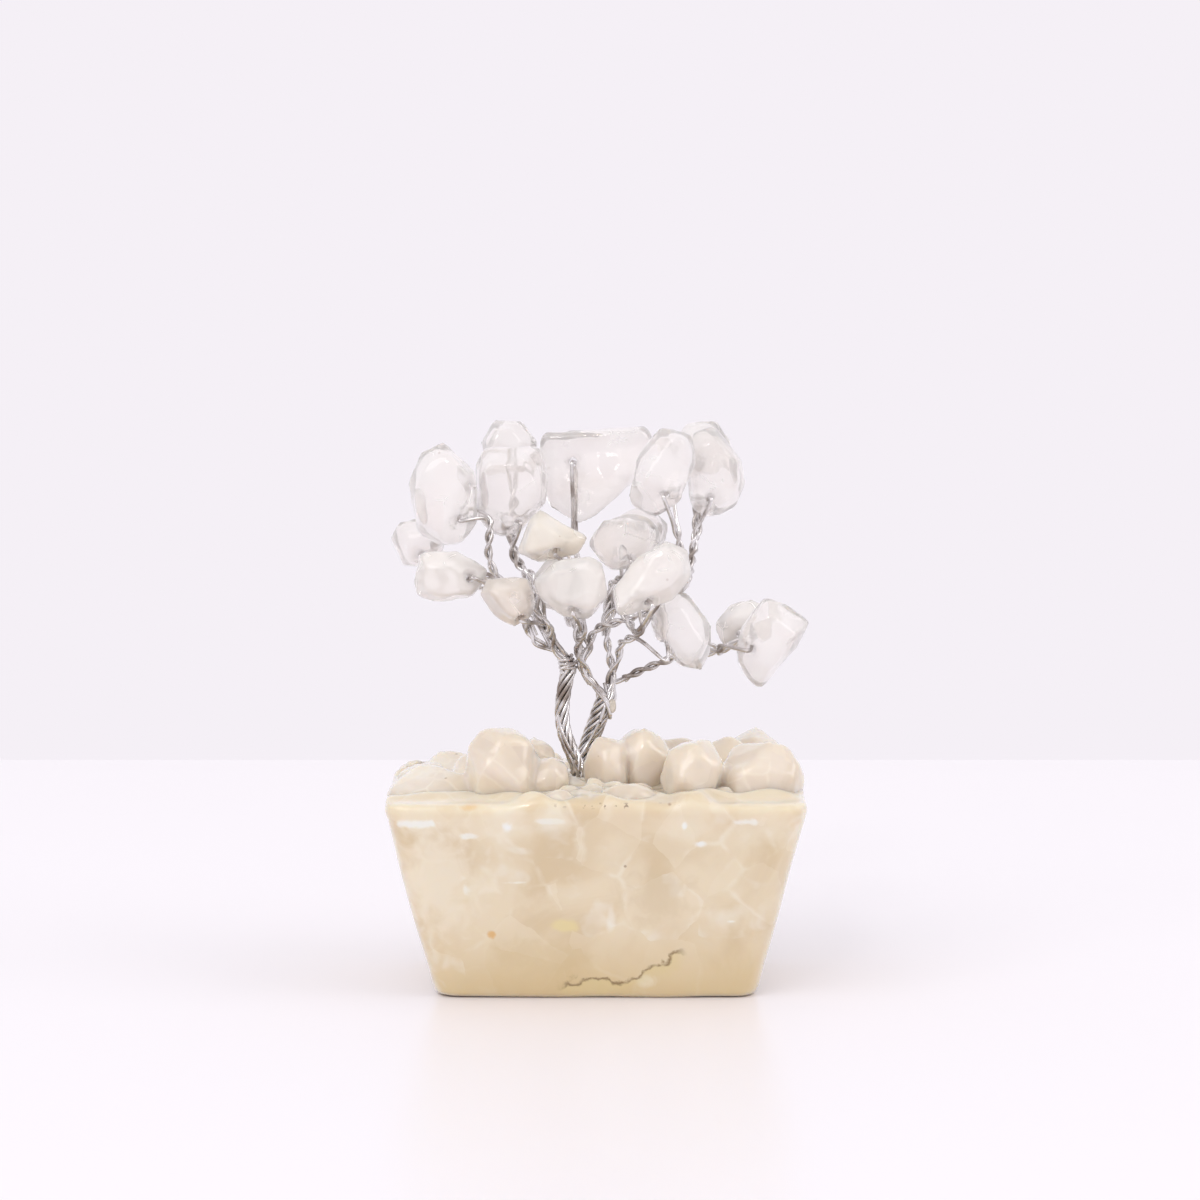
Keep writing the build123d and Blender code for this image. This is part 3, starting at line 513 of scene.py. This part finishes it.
def resin(name, dark, light, clearness, gloss, tip_tone, piece_scale, marks=()):
    """Cloudy cast resin with sunken chips, and the marks of this block where they are given."""
    made, nodes, links, shader = principled(name, Transmission_Weight=clearness, IOR=1.4, Coat_Weight=0.8,
                                            Subsurface_Weight=0.7, Subsurface_Scale=1.4 * MM,
                                            Subsurface_Radius=(1.0, 0.85, 0.6))
    place = nodes.new("ShaderNodeTexCoord").outputs["Object"]
    axes = nodes.new("ShaderNodeSeparateXYZ")
    links.new(place, axes.inputs["Vector"])
    cloud = spread(nodes, links, noise_node(nodes, links, place, 130.0, 5.0, 0.8), 0.34, 0.66)
    tone = colour_mix(nodes, links, cloud, dark, light)
    chips = place_group(nodes, PIECES, Scale=piece_scale, Bend=0.6 / piece_scale)
    share = spread(nodes, links, chips.outputs["Tone"], 0.35, 1.0, 0.0, 0.55)
    tone = colour_mix(nodes, links, share, tone, CHIP_TONE)
    share = combine(nodes, links, "MULTIPLY", chips.outputs["Outline"], 0.5)
    tone = colour_mix(nodes, links, share, tone, CHIP_OUTLINE)
    foot = spread(nodes, links, axes.outputs["Z"], 0.0, FOOT_HEIGHT, 0.75, 0.0)
    tone = colour_mix(nodes, links, foot, tone, FOOT_TONE)
    # Painted glints: some cells turn white where a face would mirror the light.
    share = combine(nodes, links, "MULTIPLY", chips.outputs["Painted Glint"], 0.3)
    tone = colour_mix(nodes, links, share, tone, PAINTED_GLINT_WHITE)
    tip = spread(nodes, links, axes.outputs["Z"], GROUND - 3.5 * MM, GROUND + 4 * MM, 0.0, 0.5)
    tone = colour_mix(nodes, links, tip, tone, tip_tone)
    for _, centre, size, ragged, strength, colour in marks:
        spot = place_group(nodes, SPOT, Centre=Vector(centre) * MM, Size=Vector(size) * MM, Ragged=ragged,
                           Strength=strength)
        tone = colour_mix(nodes, links, spot.outputs["Mask"], tone, colour)
    if marks:
        crack = place_group(nodes, CRACK)
        share = combine(nodes, links, "MULTIPLY", crack.outputs["Below"], 0.55)
        tone = colour_mix(nodes, links, share, tone, UNDER_CRACK)
        tone = colour_mix(nodes, links, crack.outputs["Mask"], tone, CRACK_TONE)
        # A broken darker line along the front rim, under the pebbles.
        rim = place_group(nodes, SPOT, Centre=Vector(RIM_LINE_PLACE) * MM, Size=Vector(RIM_LINE_SIZE) * MM,
                          Ragged=0.3)
        rim_line_breaks = spread(nodes, links, noise_node(nodes, links, place, 1500.0, 2.0), 0.60, 0.66, 0.0, 0.7)
        share = combine(nodes, links, "MULTIPLY", rim_line_breaks, rim.outputs["Mask"])
        tone = colour_mix(nodes, links, share, tone, RIM_LINE_TONE)
    share = combine(nodes, links, "MULTIPLY", chips.outputs["Grain"], 0.7)
    tone = colour_mix(nodes, links, share, tone, RESIN_GRAIN)
    # The paler edge is painted rim light.
    links.new(painted_rim_light(nodes, links, tone, RESIN_PAINTED_RIM, 0.7), shader.inputs["Base Color"])
    links.new(spread(nodes, links, cloud, 0.0, 1.0, gloss, gloss + 0.14), shader.inputs["Roughness"])
    relief(nodes, links, shader, noise_node(nodes, links, place, 320.0, 3.0), 0.2, 0.1 * MM)
    return made


cream_resin = resin("cream_resin", RESIN_DARK, RESIN_LIGHT, 0.15, 0.12, BLOCK_TIP, BLOCK_PIECES, RESIN_MARKS)
coated_quartz = resin("coated_quartz", PEBBLE_DARK, PEBBLE_LIGHT, 0.10, 0.03, PEBBLE_TIP, PEBBLE_PIECES)
print("finishes:", [m.name for m in bpy.data.materials])

# %% [markdown]
# A tumbled stone has no sharp edge left. The flat-cut copy gets an even skin of small squares from a voxel
# remesh, and smoothing that skin rounds every edge alike. Noise then adds the dents of a natural chip.
# The drilled hole keeps its size, because the points near its axis are left out.

# %% Tumbled stones
STONE_SKIN = 0.26 * MM
TUMBLING = 6
SWELL = 0.16 * MM
HOLE_KEEP = 0.85 * MM
WIDE_WAVE, FINE_WAVE = 2.9 * MM, 1.3 * MM


def remeshed(bm, size):
    """The same shape with an even skin of squares of this size."""
    mesh = bpy.data.meshes.new("rough")
    bm.to_mesh(mesh)
    bm.free()
    rough = bpy.data.objects.new("rough", mesh)
    bpy.context.scene.collection.objects.link(rough)
    change = rough.modifiers.new("skin", "REMESH")
    change.mode = "VOXEL"
    change.voxel_size = size
    depsgraph = bpy.context.evaluated_depsgraph_get()
    skin = bpy.data.meshes.new_from_object(rough.evaluated_get(depsgraph))
    fresh = bmesh.new()
    fresh.from_mesh(skin)
    bpy.data.objects.remove(rough)
    bpy.data.meshes.remove(mesh)
    bpy.data.meshes.remove(skin)
    return fresh


def smooth(bm, points, rounds):
    """Draws points towards the middle of their neighbours a few times."""
    for _ in range(rounds):
        bmesh.ops.smooth_vert(bm, verts=points, factor=0.5, use_axis_x=True, use_axis_y=True, use_axis_z=True)


def clear_of_hole(bm, body):
    """The points of a stone that are well away from the axis of its hole."""
    joint = HOLE_OF.get(body)
    if joint is None:
        return list(bm.verts)
    start, axis = Vector(joint["pos_m"]), Vector(joint["axis"])
    return [v for v in bm.verts if (v.co - start).cross(axis).length > HOLE_KEEP]


def tumbled(bm, body, skin, rounds, dent):
    """A stone with rounded edges and shallow dents."""
    bm = remeshed(bm, skin)
    free = clear_of_hole(bm, body)
    smooth(bm, free, rounds)
    bm.normal_update()
    for point in free:
        wave = noise.noise(point.co / WIDE_WAVE) + 0.5 * noise.noise(point.co / FINE_WAVE)
        point.co += point.normal * (SWELL + wave * dent)
    return bm


# %% [markdown]
# Most leaves are clear. A few are milky, and two have a warm tone.

# %% Leaf stones
LEAF_DENT = 0.16 * MM
FINISH_OF = {"leaf_middle_upper": honey_quartz, "leaf_left_front": beige_quartz}
for node in ("leaf_middle_front", "leaf_right_front", "leaf_low_rear", "leaf_middle_rear", "leaf_left_low"):
    FINISH_OF[node] = milky_quartz
for node in LEAVES:
    body = BODY_OF[node]
    shape = tumbled(welded_copy(node), body, STONE_SKIN, TUMBLING, LEAF_DENT)
    finish = FINISH_OF.get(node, clear_quartz)
    stone = piece(shape, node.replace("leaf", "stone"), finish, [node])
    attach(stone, body)
print("faces on the last stone:", len(stone.data.polygons))

# %% [markdown]
# Topping stones are the same chips, set in resin while it was wet. They stay in their three rows.

# %% Topping stones
TOPPING_SKIN, TOPPING_ROUNDS, TOPPING_DENT = 0.34 * MM, 9, 0.16 * MM
topping_pieces = []
for node in TOPPINGS:
    shape = tumbled(welded_copy(node), "base", TOPPING_SKIN, TOPPING_ROUNDS, TOPPING_DENT)
    stones = piece(shape, node.replace("topping", "pebbles"), coated_quartz, [node])
    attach(stones, "base")
    topping_pieces.append(stones)
print("pebbles:", [len(p.data.polygons) for p in topping_pieces])

# %% [markdown]
# The chips that were cast into the block hardly show from outside, so a coarser skin is enough for them.

# %% Chips inside the block
CAST_SKIN, CAST_ROUNDS, CAST_DENT = 0.45 * MM, 4, 0.06 * MM
for node in ("cast_chips_front", "cast_chips_back"):
    shape = tumbled(welded_copy(node), "base", CAST_SKIN, CAST_ROUNDS, CAST_DENT)
    chips = piece(shape, node.replace("cast", "sunken"), cast_quartz, [node])
    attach(chips, "base")

# %% [markdown]
# Between the large pebbles lie small broken chips, half sunk in the resin. They are scattered on a jittered
# grid and kept only where no pebble and no wire stands. Each is the hull of a few points on a flattened ball,
# which gives flat faces and corners as on a real splinter, and tumbling then rounds them a little.

# %% Small chips on the top
CHIP_STEP = 2.5 * MM
CHIP_RADIUS = 1.75 * MM
CHIP_ROOM = 0.6 * MM
CHIP_RISE = 0.45 * MM
RIM_ROOM = 0.5 * MM
CHIP_CORNERS = 14
CHIP_LONG, CHIP_FLAT, CHIP_TILT = 1.3, 0.75, 0.6
CHIP_LEAST, CHIP_RANGE = 0.55, 0.6
CHIP_SWAY = 1.4
CHIP_SKIN, CHIP_ROUNDS, CHIP_DENT = 0.22 * MM, 3, 0.05 * MM
noise.seed_set(11)


def level_half(z, margin=0.05 * MM):
    """Half the width and half the depth of the CAD block at a height."""
    points = [v.co for v in frame["nodes"]["resin_base"].data.vertices if abs(v.co.z - z) < margin]
    return max(abs(p.x) for p in points), max(abs(p.y) for p in points)


def broken_chip(bm, place, size):
    """The hull of points on a flattened ball, turned any way round."""
    turn = Matrix.Rotation(noise.random() * math.pi, 3, "Z")
    turn = turn @ Matrix.Rotation(noise.random() * CHIP_TILT, 3, "X")
    corners = []
    for _ in range(CHIP_CORNERS):
        way = noise.random_unit_vector()
        corner = turn @ Vector((CHIP_LONG * way.x, way.y, CHIP_FLAT * way.z)) * size
        corners.append(bm.verts.new(place + corner))
    hull = bmesh.ops.convex_hull(bm, input=corners)
    loose = {v for v in hull["geom_interior"] + hull["geom_unused"] if isinstance(v, bmesh.types.BMVert)}
    bmesh.ops.delete(bm, geom=list(loose), context="VERTS")


def is_free(place, trees):
    """True where a place is outside everything and has some room around it."""
    for tree in trees:
        near, normal, _, gap = tree.find_nearest(place)
        if gap < CHIP_ROOM or (place - near).dot(normal) < 0:
            return False
    return True


def small_chips():
    """All the small chips as one piece on the base."""
    bm = bmesh.new()
    trees = [BVHTree.FromObject(p, bpy.context.evaluated_depsgraph_get()) for p in topping_pieces]
    trees.append(BVHTree.FromBMesh(welded_copy("trunk_left", "trunk_right")))
    wide, deep = level_half(GROUND)
    across, along = int(wide / CHIP_STEP), int(deep / CHIP_STEP)
    count = 0
    for row in range(-along, along + 1):
        for column in range(-across, across + 1):
            sway = Vector((noise.random() - 0.5, noise.random() - 0.5, 0.0)) * CHIP_SWAY * MM
            level = GROUND + CHIP_RISE * noise.random()
            place = Vector((column * CHIP_STEP, row * CHIP_STEP, level)) + sway
            size = CHIP_RADIUS * (CHIP_LEAST + CHIP_RANGE * noise.random())
            reach = CHIP_LONG * size + RIM_ROOM
            inside = abs(place.x) < wide - reach and abs(place.y) < deep - reach
            if inside and is_free(place, trees):
                broken_chip(bm, place, size)
                count += 1
    print("small chips:", count)
    shape = tumbled(bm, "base", CHIP_SKIN, CHIP_ROUNDS, CHIP_DENT)
    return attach(piece(shape, "small_chips", coated_quartz), "base")


topping_pieces.append(small_chips())

# %% [markdown]
# The block was poured into a tapered mould, so its sides are nearly flat and its rim is soft. It starts as a
# cube whose top is wider than its foot. Resin creeps up on stone while it sets, so the top is drawn up
# wherever a pebble is near.

# %% Resin block
BLOCK_SKIN = 0.34 * MM
CORNER = 2.4 * MM
RIM_ROUND = 0.7 * MM
CREEP = 0.8 * MM
CREEP_REACH = 1.2 * MM
CREEP_SWING, CREEP_WAVE = 1.1, 3.2 * MM
RIM_BAND = 0.8 * MM
BLOCK_WAVE, BLOCK_DENT = 7 * MM, 0.15


def resin_block():
    """The tapered block with round corners, a soft rim and a top that creeps up on the stones."""
    low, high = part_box("resin_base")
    foot, top = level_half(low.z + 0.6 * MM, 0.3 * MM), level_half(high.z)
    bm = bmesh.new()
    bmesh.ops.create_cube(bm, size=2)
    for corner in bm.verts:
        half = top if corner.co.z > 0 else foot
        level = high.z if corner.co.z > 0 else low.z
        corner.co = Vector((corner.co.x * half[0], corner.co.y * half[1], level))
    upright = [e for e in bm.edges if abs(e.verts[0].co.z - e.verts[1].co.z) > 0.01]
    bmesh.ops.bevel(bm, geom=upright, offset=CORNER, segments=6, profile=0.5, affect="EDGES", material=-1)
    rims = [e for e in bm.edges if abs(e.verts[0].co.z - e.verts[1].co.z) < 1e-6 and e.is_manifold
            and len({round(f.normal.z, 2) for f in e.link_faces}) > 1]
    bmesh.ops.bevel(bm, geom=rims, offset=RIM_ROUND, segments=4, profile=0.5, affect="EDGES", material=-1)
    bm = remeshed(bm, BLOCK_SKIN)
    smooth(bm, bm.verts, 3)
    bm.normal_update()
    trees = [BVHTree.FromObject(p, bpy.context.evaluated_depsgraph_get()) for p in topping_pieces]
    upper = [v for v in bm.verts if v.co.z > high.z - RIM_BAND]
    for point in upper:
        near = min(tree.find_nearest(point.co)[3] for tree in trees)
        swing = 1 + CREEP_SWING * noise.noise(point.co / CREEP_WAVE)
        point.co.z += CREEP * max(0.0, swing) * math.exp(-(near / CREEP_REACH) ** 2)
    smooth(bm, upper, 5)
    bm.normal_update()
    for point in bm.verts:
        point.co += point.normal * (noise.noise(point.co / BLOCK_WAVE) * BLOCK_DENT * MM)
    return bm


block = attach(piece(resin_block(), "resin_block", cream_resin, ["resin_base"]), "base")
print("faces on the block:", len(block.data.polygons))

# %% [markdown]
# The CAD wire has four flat sides. Joined to squares and subdivided, that square tube becomes a round one,
# and the corners of its twist become a smooth helix. The tube is thickened first, because subdivision
# thins it.

# %% Round wire
WIRE_GROWTH = 0.075 * MM


def wire_cage(node):
    """A wire node as tubes of four-sided rings."""
    bm = welded_copy(node)
    bmesh.ops.join_triangles(bm, faces=bm.faces, angle_face_threshold=math.radians(3),
                             angle_shape_threshold=math.radians(180))
    return bm


def thicken(bm):
    """Moves the surface of a wire outward."""
    bm.normal_update()
    for point in bm.verts:
        point.co += point.normal * WIRE_GROWTH


def wire_ends(bm):
    """The end faces of the wires: the squares whose corners have three edges each."""
    ends = [f for f in bm.faces if len(f.verts) == 4 and all(len(v.link_edges) == 3 for v in f.verts)]
    return [(f.calc_center_median(), f.normal.copy()) for f in ends]


def wires(name, body, nodes):
    """One piece with all the round wires of a body."""
    bm = bmesh.new()
    for node in nodes:
        cage = wire_cage(node)
        thicken(cage)
        part = bpy.data.meshes.new(node)
        cage.to_mesh(part)
        cage.free()
        bm.from_mesh(part)
        bpy.data.meshes.remove(part)
    made = piece(bm, name, silver_wire, nodes)
    rounding = made.modifiers.new("round", "SUBSURF")
    rounding.levels = rounding.render_levels = 2
    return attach(made, body)


WIRE_NODES = {body: [n for n, b in BODY_OF.items() if b == body and n.split("_")[0] in
                     ("trunk", "limb", "branch", "twig")] for body in ("base", *LIMBS)}
for body, name in (("base", "trunk_wires"), ("left_limb", "left_wires"), ("crown_limb", "crown_wires"),
                   ("low_limb", "low_wires")):
    made = wires(name, body, WIRE_NODES[body])
    print(name, len(made.data.polygons), "faces before rounding")

# %% [markdown]
# Where a twig starts, its two wires run on into the limb. A short tail from each wire end, drawn as a curve
# and turned into a mesh, lets the twig grow out of the bundle instead of ending beside it.

# %% Wire tails
WIRE_RADIUS = 0.21 * MM
TAIL_REACH = 0.62 * MM
TAIL_STEP, TAIL_TURN, TAIL_TAPER = 1.1, math.radians(50), 0.12


def bent_wire(bm, points, radius=WIRE_RADIUS):
    """Adds a round wire along a smooth curve to a bmesh."""
    curve = bpy.data.curves.new("bent_wire", "CURVE")
    curve.dimensions = "3D"
    curve.bevel_depth = radius
    curve.bevel_resolution = 3
    curve.resolution_u = 6
    curve.use_fill_caps = True
    line = curve.splines.new("NURBS")
    line.points.add(len(points) - 1)
    for knot, point in zip(line.points, points):
        knot.co = (*point, 1.0)
    line.use_endpoint_u = True
    line.order_u = 4
    run = bpy.data.objects.new("bent_wire", curve)
    mesh = bpy.data.meshes.new_from_object(run)
    bm.from_mesh(mesh)
    bpy.data.objects.remove(run)
    bpy.data.curves.remove(curve)
    bpy.data.meshes.remove(mesh)


def bundle_near(nodes, skip, place, reach=0.9 * MM):
    """The middle of the wire bundle nearest to a place, the skipped node left out."""
    points = [v.co for node in nodes if node != skip for v in frame["nodes"][node].data.vertices]
    tree = KDTree(len(points))
    for number, point in enumerate(points):
        tree.insert(point, number)
    tree.balance()
    nearest = tree.find(place)[0]
    around = [found[0] for found in tree.find_range(nearest, reach)]
    return sum(around, Vector()) / len(around)


def tail(bm, nodes, node, start, back, side, root):
    """One wire end led on along the bundle beside it, half a turn round it towards the limb's root."""
    middle = bundle_near(nodes, node, start)
    places = [start - back * 0.5 * MM, start + back * 0.25 * MM]
    for number in range(1, 4):
        step = (root - middle).normalized() * TAIL_STEP * MM
        below = bundle_near(nodes, node, middle + step)
        way = (below - middle).normalized()
        round_about = Matrix.Rotation(side * number * TAIL_TURN, 3, way)
        off = start - middle
        off = round_about @ (off - way * off.dot(way)).normalized()
        places.append(below + off * TAIL_REACH * (1 - TAIL_TAPER * number))
        middle = below
    bent_wire(bm, places)


def tails(name, body):
    """The tails of all the twigs on one body."""
    bm = bmesh.new()
    nodes = WIRE_NODES[body]
    root = Vector(HOLE_OF[body]["pos_m"])
    for node in [n for n in nodes if n.startswith("twig_")]:
        cage = wire_cage(node)
        ends = wire_ends(cage)
        cage.free()
        for side, (start, back) in zip((-1, 1), ends):
            tail(bm, nodes, node, start, back, side, root)
    bmesh.ops.recalc_face_normals(bm, faces=bm.faces)
    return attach(piece(bm, name, silver_wire), body)


for body, name in (("left_limb", "left_tails"), ("crown_limb", "crown_tails"), ("low_limb", "low_tails")):
    print(name, len(tails(name, body).data.polygons), "faces")

# %% [markdown]
# At the forks the wire goes on from the trunk into the limbs. These strands cross a bend, and each piece
# stays where it is made, attached to no body.


# %% Left fork
def helix(start, end, radius_start, radius_end, turns, phase, steps=10):
    """Places on a helix round the line from start to end."""
    axis = (end - start).normalized()
    side = axis.orthogonal().normalized()
    count = max(4, round(abs(turns) * steps))
    places = []
    for step in range(count + 1):
        share = step / count
        turn = Matrix.Rotation(phase + share * turns * 2 * math.pi, 3, axis)
        radius = radius_start + (radius_end - radius_start) * share
        places.append(start.lerp(end, share) + turn @ side * radius)
    return places


STRAND_ROOT, STRAND_LEAD, STRAND_TIP = 0.5, 0.3, 0.6
KNOT_LOW, KNOT_HIGH, KNOT_TURNS = (-2.8, -0.4, 12.0), (-3.2, -0.4, 13.4), -1.6
KNOT_WIDE, KNOT_NARROW, KNOT_STEPS = 0.85 * MM, 0.72 * MM, 12
LOOSE_END = ((-3.5, -1.1, 12.3), (-2.8, -1.35, 12.6), (-2.0, -1.0, 12.8), (-1.7, -0.4, 13.3))


def ends_of(node, way):
    """The wire ends of a node that face up (1) or down (-1)."""
    cage = wire_cage(node)
    ends = [(place, out) for place, out in wire_ends(cage) if out.z * way > 0.2]
    cage.free()
    return ends


def strands_between(bm, trunk, limbs):
    """Leads every wire at the top of a trunk into the nearest wire of a limb."""
    feet = [end for limb in limbs for end in ends_of(limb, -1)]
    for start, out in ends_of(trunk, 1):
        foot, down = min(feet, key=lambda end: (end[0] - start).length)
        bent_wire(bm, [start - out * STRAND_ROOT * MM, start + out * STRAND_LEAD * MM,
                       foot + down * STRAND_LEAD * MM, foot - down * STRAND_TIP * MM])


def left_fork():
    """The strands from the left trunk into its limb, two wires wound round them and a loose end."""
    bm = bmesh.new()
    strands_between(bm, "trunk_left", ["limb_left"])
    for number in range(2):
        bent_wire(bm, helix(above(*KNOT_LOW), above(*KNOT_HIGH), KNOT_WIDE, KNOT_NARROW, KNOT_TURNS,
                            number * math.pi, KNOT_STEPS))
    bent_wire(bm, [above(*p) for p in LOOSE_END])
    bmesh.ops.recalc_face_normals(bm, faces=bm.faces)
    made = piece(bm, "left_fork_strands", silver_wire)
    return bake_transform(made)


print("left fork:", len(left_fork().data.polygons), "faces")

# %% [markdown]
# On the right, strands lead from the trunk into the crown limb, and from that into the low limb. Their ways
# are listed.

# %% Right fork
CROWN_STRANDS = (
    ((-1.15, -0.75, 11.6), (0.0, -0.9, 10.4), (1.0, -1.0, 9.2), (1.65, -0.85, 8.1), (1.5, -0.4, 6.9)),
    ((-1.0, -0.3, 11.7), (-0.2, -0.75, 10.2), (0.7, -0.95, 9.3), (1.3, -1.0, 8.5), (1.5, -0.8, 7.4)),
    ((1.7, 0.2, 11.4), (1.75, 0.15, 10.3), (1.45, -0.2, 9.2), (0.9, -0.7, 8.0), (0.5, -0.6, 6.6)),
    ((1.6, 0.7, 11.5), (1.55, 0.6, 10.3), (1.35, 0.6, 9.2), (1.2, 0.7, 8.0), (0.9, 0.9, 6.8)),
    ((1.9, 0.45, 11.3), (2.0, 0.4, 10.2), (1.8, 0.3, 9.0), (1.45, 0.2, 7.9), (1.1, 0.3, 6.8)),
    ((0.9, 0.3, 10.6), (1.2, 0.1, 9.9), (1.0, 0.0, 9.0), (0.7, 0.1, 8.0), (0.4, 0.2, 7.0)),
)
LOW_STRANDS = (
    ((3.6, 0.75, 11.2), (2.9, 0.7, 10.9), (2.2, 0.6, 10.5), (1.75, 0.5, 10.6), (1.6, 0.4, 11.4)),
    ((3.6, 1.1, 11.35), (2.9, 1.1, 10.95), (2.2, 0.9, 10.6), (1.7, 0.8, 10.9), (1.55, 0.6, 11.7)),
)


def fork(name, strands, trunk=None, limbs=()):
    """Strands that cross from one body to another. With a trunk, they also join its wires to the limbs."""
    bm = bmesh.new()
    for strand in strands:
        bent_wire(bm, [above(*p) for p in strand])
    if trunk:
        strands_between(bm, trunk, limbs)
    bmesh.ops.recalc_face_normals(bm, faces=bm.faces)
    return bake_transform(piece(bm, name, silver_wire))


fork("right_fork_strands", CROWN_STRANDS,
     "trunk_right", ["branch_middle", "branch_right"])
fork("low_fork_strands", LOW_STRANDS)

# %% [markdown]
# Three strands cross the front of the trunk where it enters the pebbles. Their ways are given across and
# upwards only. A ray from the front finds the face of the trunk at each place, so the strands lie on it.

# %% Wraps at the foot
WRAPS = (
    ((-4.0, 7.4), (-3.8, 6.2), (-3.2, 4.8), (-2.5, 3.4), (-1.8, 2.2), (-1.2, 0.9)),
    ((-3.8, 5.6), (-3.5, 4.6), (-2.9, 3.4), (-2.2, 2.1), (-1.7, 0.8)),
    ((0.4, 6.4), (-0.3, 5.0), (-1.1, 3.7), (-1.9, 2.5), (-2.6, 1.2)),
)
FRONT = 30 * MM


def lay_on(tree, x, z):
    """The place of a wire on the front of the trunk, or at the trunk's own depth beside it."""
    start = above(x, 0, z) - Vector((0, FRONT, 0))
    hit = tree.ray_cast(start, Vector((0, 1, 0)))[0]
    return (hit if hit else above(x, -0.6, z)) - Vector((0, WIRE_RADIUS * 0.8, 0))


def wraps():
    bm = welded_copy("trunk_left", "trunk_right")
    tree = BVHTree.FromBMesh(bm)
    bm.clear()
    for way in WRAPS:
        bent_wire(bm, [lay_on(tree, x, z) for x, z in way])
    bmesh.ops.recalc_face_normals(bm, faces=bm.faces)
    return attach(piece(bm, "foot_wraps", silver_wire), "base")


print("foot wraps:", len(wraps().data.polygons), "faces")

# %% [markdown]
# A drop of resin has dried on the right trunk. It is longer below than above.

# %% Dried drop
DROP_PLACE, DROP_SIZE = (1.75, -0.7, 8.4), (0.42, 0.4, 0.65)


def dried_drop():
    bm = bmesh.new()
    bmesh.ops.create_uvsphere(bm, u_segments=20, v_segments=12, radius=1.0)
    for point in bm.verts:
        long_end = 1 + 0.35 * max(0.0, -point.co.z)
        point.co = Vector(c * s for c, s in zip(point.co * long_end, DROP_SIZE)) * MM + above(*DROP_PLACE)
    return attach(piece(bm, "dried_drop", honey_quartz), "base")


print("drop:", len(dried_drop().data.polygons), "faces")

# %% [markdown]
# The floor is a white table top that ends some way behind the tree, and the wall is the world's own colour.
# The light is a bright soft room: an even white world, two large lamps, and a small one for the glints.

# %% Stage
WALL = pale(245, 240, 246)
TABLE_FAR, TABLE_NEAR, TABLE_SIDE = 158 * MM, 4000 * MM, 4000 * MM
NEAR_TONE, FAR_TONE = pale(238, 233, 239), pale(243, 238, 244)
TONE_START, TONE_END = -250 * MM, 100 * MM
ROOM_STRENGTH = 0.88
LAMPS = (
    ("window_lamp", (-0.60, -0.68, 0.86), 0.80, 3.6),
    ("glint_lamp", (-0.26, -0.92, 0.70), 0.13, 0.9),
    ("fill_lamp", (0.80, -0.30, 0.62), 0.60, 1.9),
)


def table_finish():
    made, nodes, links, shader = principled("white_table", Roughness=0.30)
    place = nodes.new("ShaderNodeSeparateXYZ")
    links.new(nodes.new("ShaderNodeTexCoord").outputs["Object"], place.inputs["Vector"])
    far = spread(nodes, links, place.outputs["Y"], TONE_START, TONE_END)
    links.new(colour_mix(nodes, links, far, NEAR_TONE, FAR_TONE), shader.inputs["Base Color"])
    return made


def table_top():
    bm = bmesh.new()
    corners = ((-TABLE_SIDE, -TABLE_NEAR), (TABLE_SIDE, -TABLE_NEAR),
               (TABLE_SIDE, TABLE_FAR), (-TABLE_SIDE, TABLE_FAR))
    bm.faces.new([bm.verts.new((x, y, 0)) for x, y in corners])
    mesh = bpy.data.meshes.new("table_top")
    bm.to_mesh(mesh)
    bm.free()
    made = bpy.data.objects.new("table_top", mesh)
    bpy.context.scene.collection.objects.link(made)
    mesh.materials.append(table_finish())


def room_light(strength):
    world = bpy.data.worlds.new("bright_room")
    bpy.context.scene.world = world
    world.use_nodes = True
    nodes, links = shader_nodes(world.node_tree)
    out = nodes.new("ShaderNodeOutputWorld")
    light = nodes.new("ShaderNodeBackground")
    light.inputs["Color"].default_value = (1.0, 1.0, 1.0, 1.0)
    light.inputs["Strength"].default_value = strength
    wall = nodes.new("ShaderNodeBackground")
    wall.inputs["Color"].default_value = WALL
    rays = nodes.new("ShaderNodeLightPath")
    mirrored = combine(nodes, links, "MAXIMUM", rays.outputs["Is Glossy Ray"],
                       rays.outputs["Is Transmission Ray"])
    seen = combine(nodes, links, "MAXIMUM", rays.outputs["Is Camera Ray"], mirrored)
    mix = nodes.new("ShaderNodeMixShader")
    links.new(seen, mix.inputs["Fac"])
    links.new(light.outputs["Background"], mix.inputs[1])
    links.new(wall.outputs["Background"], mix.inputs[2])
    links.new(mix.outputs["Shader"], out.inputs["Surface"])


def soft_lamp(name, place, size, power, aim):
    lamp = bpy.data.lights.new(name, "AREA")
    lamp.size = size
    lamp.energy = power
    made = bpy.data.objects.new(name, lamp)
    made.location = place
    made.rotation_euler = (Vector(aim) - Vector(place)).to_track_quat("-Z", "Y").to_euler()
    bpy.context.scene.collection.objects.link(made)


MIDDLE = (CAD_BOX[0] + CAD_BOX[1]) / 2
table_top()
room_light(ROOM_STRENGTH)
for name, place, size, power in LAMPS:
    soft_lamp(name, place, size, power, MIDDLE)

# %% [markdown]
# The camera looks at the tree from the front and a little from above, as in the photograph.

# %% Camera
AIM = Vector((0.465, 0.0, 40.397)) * MM
DISTANCE = 350 * MM
HEIGHT_ANGLE = math.radians(5.7)
HALF_VIEW = 63 * MM
camera_data = bpy.data.cameras.new("camera")
camera_data.sensor_width = 36
camera_data.lens = camera_data.sensor_width / 2 * DISTANCE / HALF_VIEW
camera_data.clip_start = 0.01
camera = bpy.data.objects.new("camera", camera_data)
back = Vector((0, -math.cos(HEIGHT_ANGLE), math.sin(HEIGHT_ANGLE)))
camera.location = AIM + back * DISTANCE
camera.rotation_euler = (-back).to_track_quat("-Z", "Y").to_euler()
bpy.context.scene.collection.objects.link(camera)
bpy.context.scene.camera = camera
bpy.context.scene.view_settings.view_transform = "Standard"
print("camera lens", round(camera_data.lens, 1), "mm")
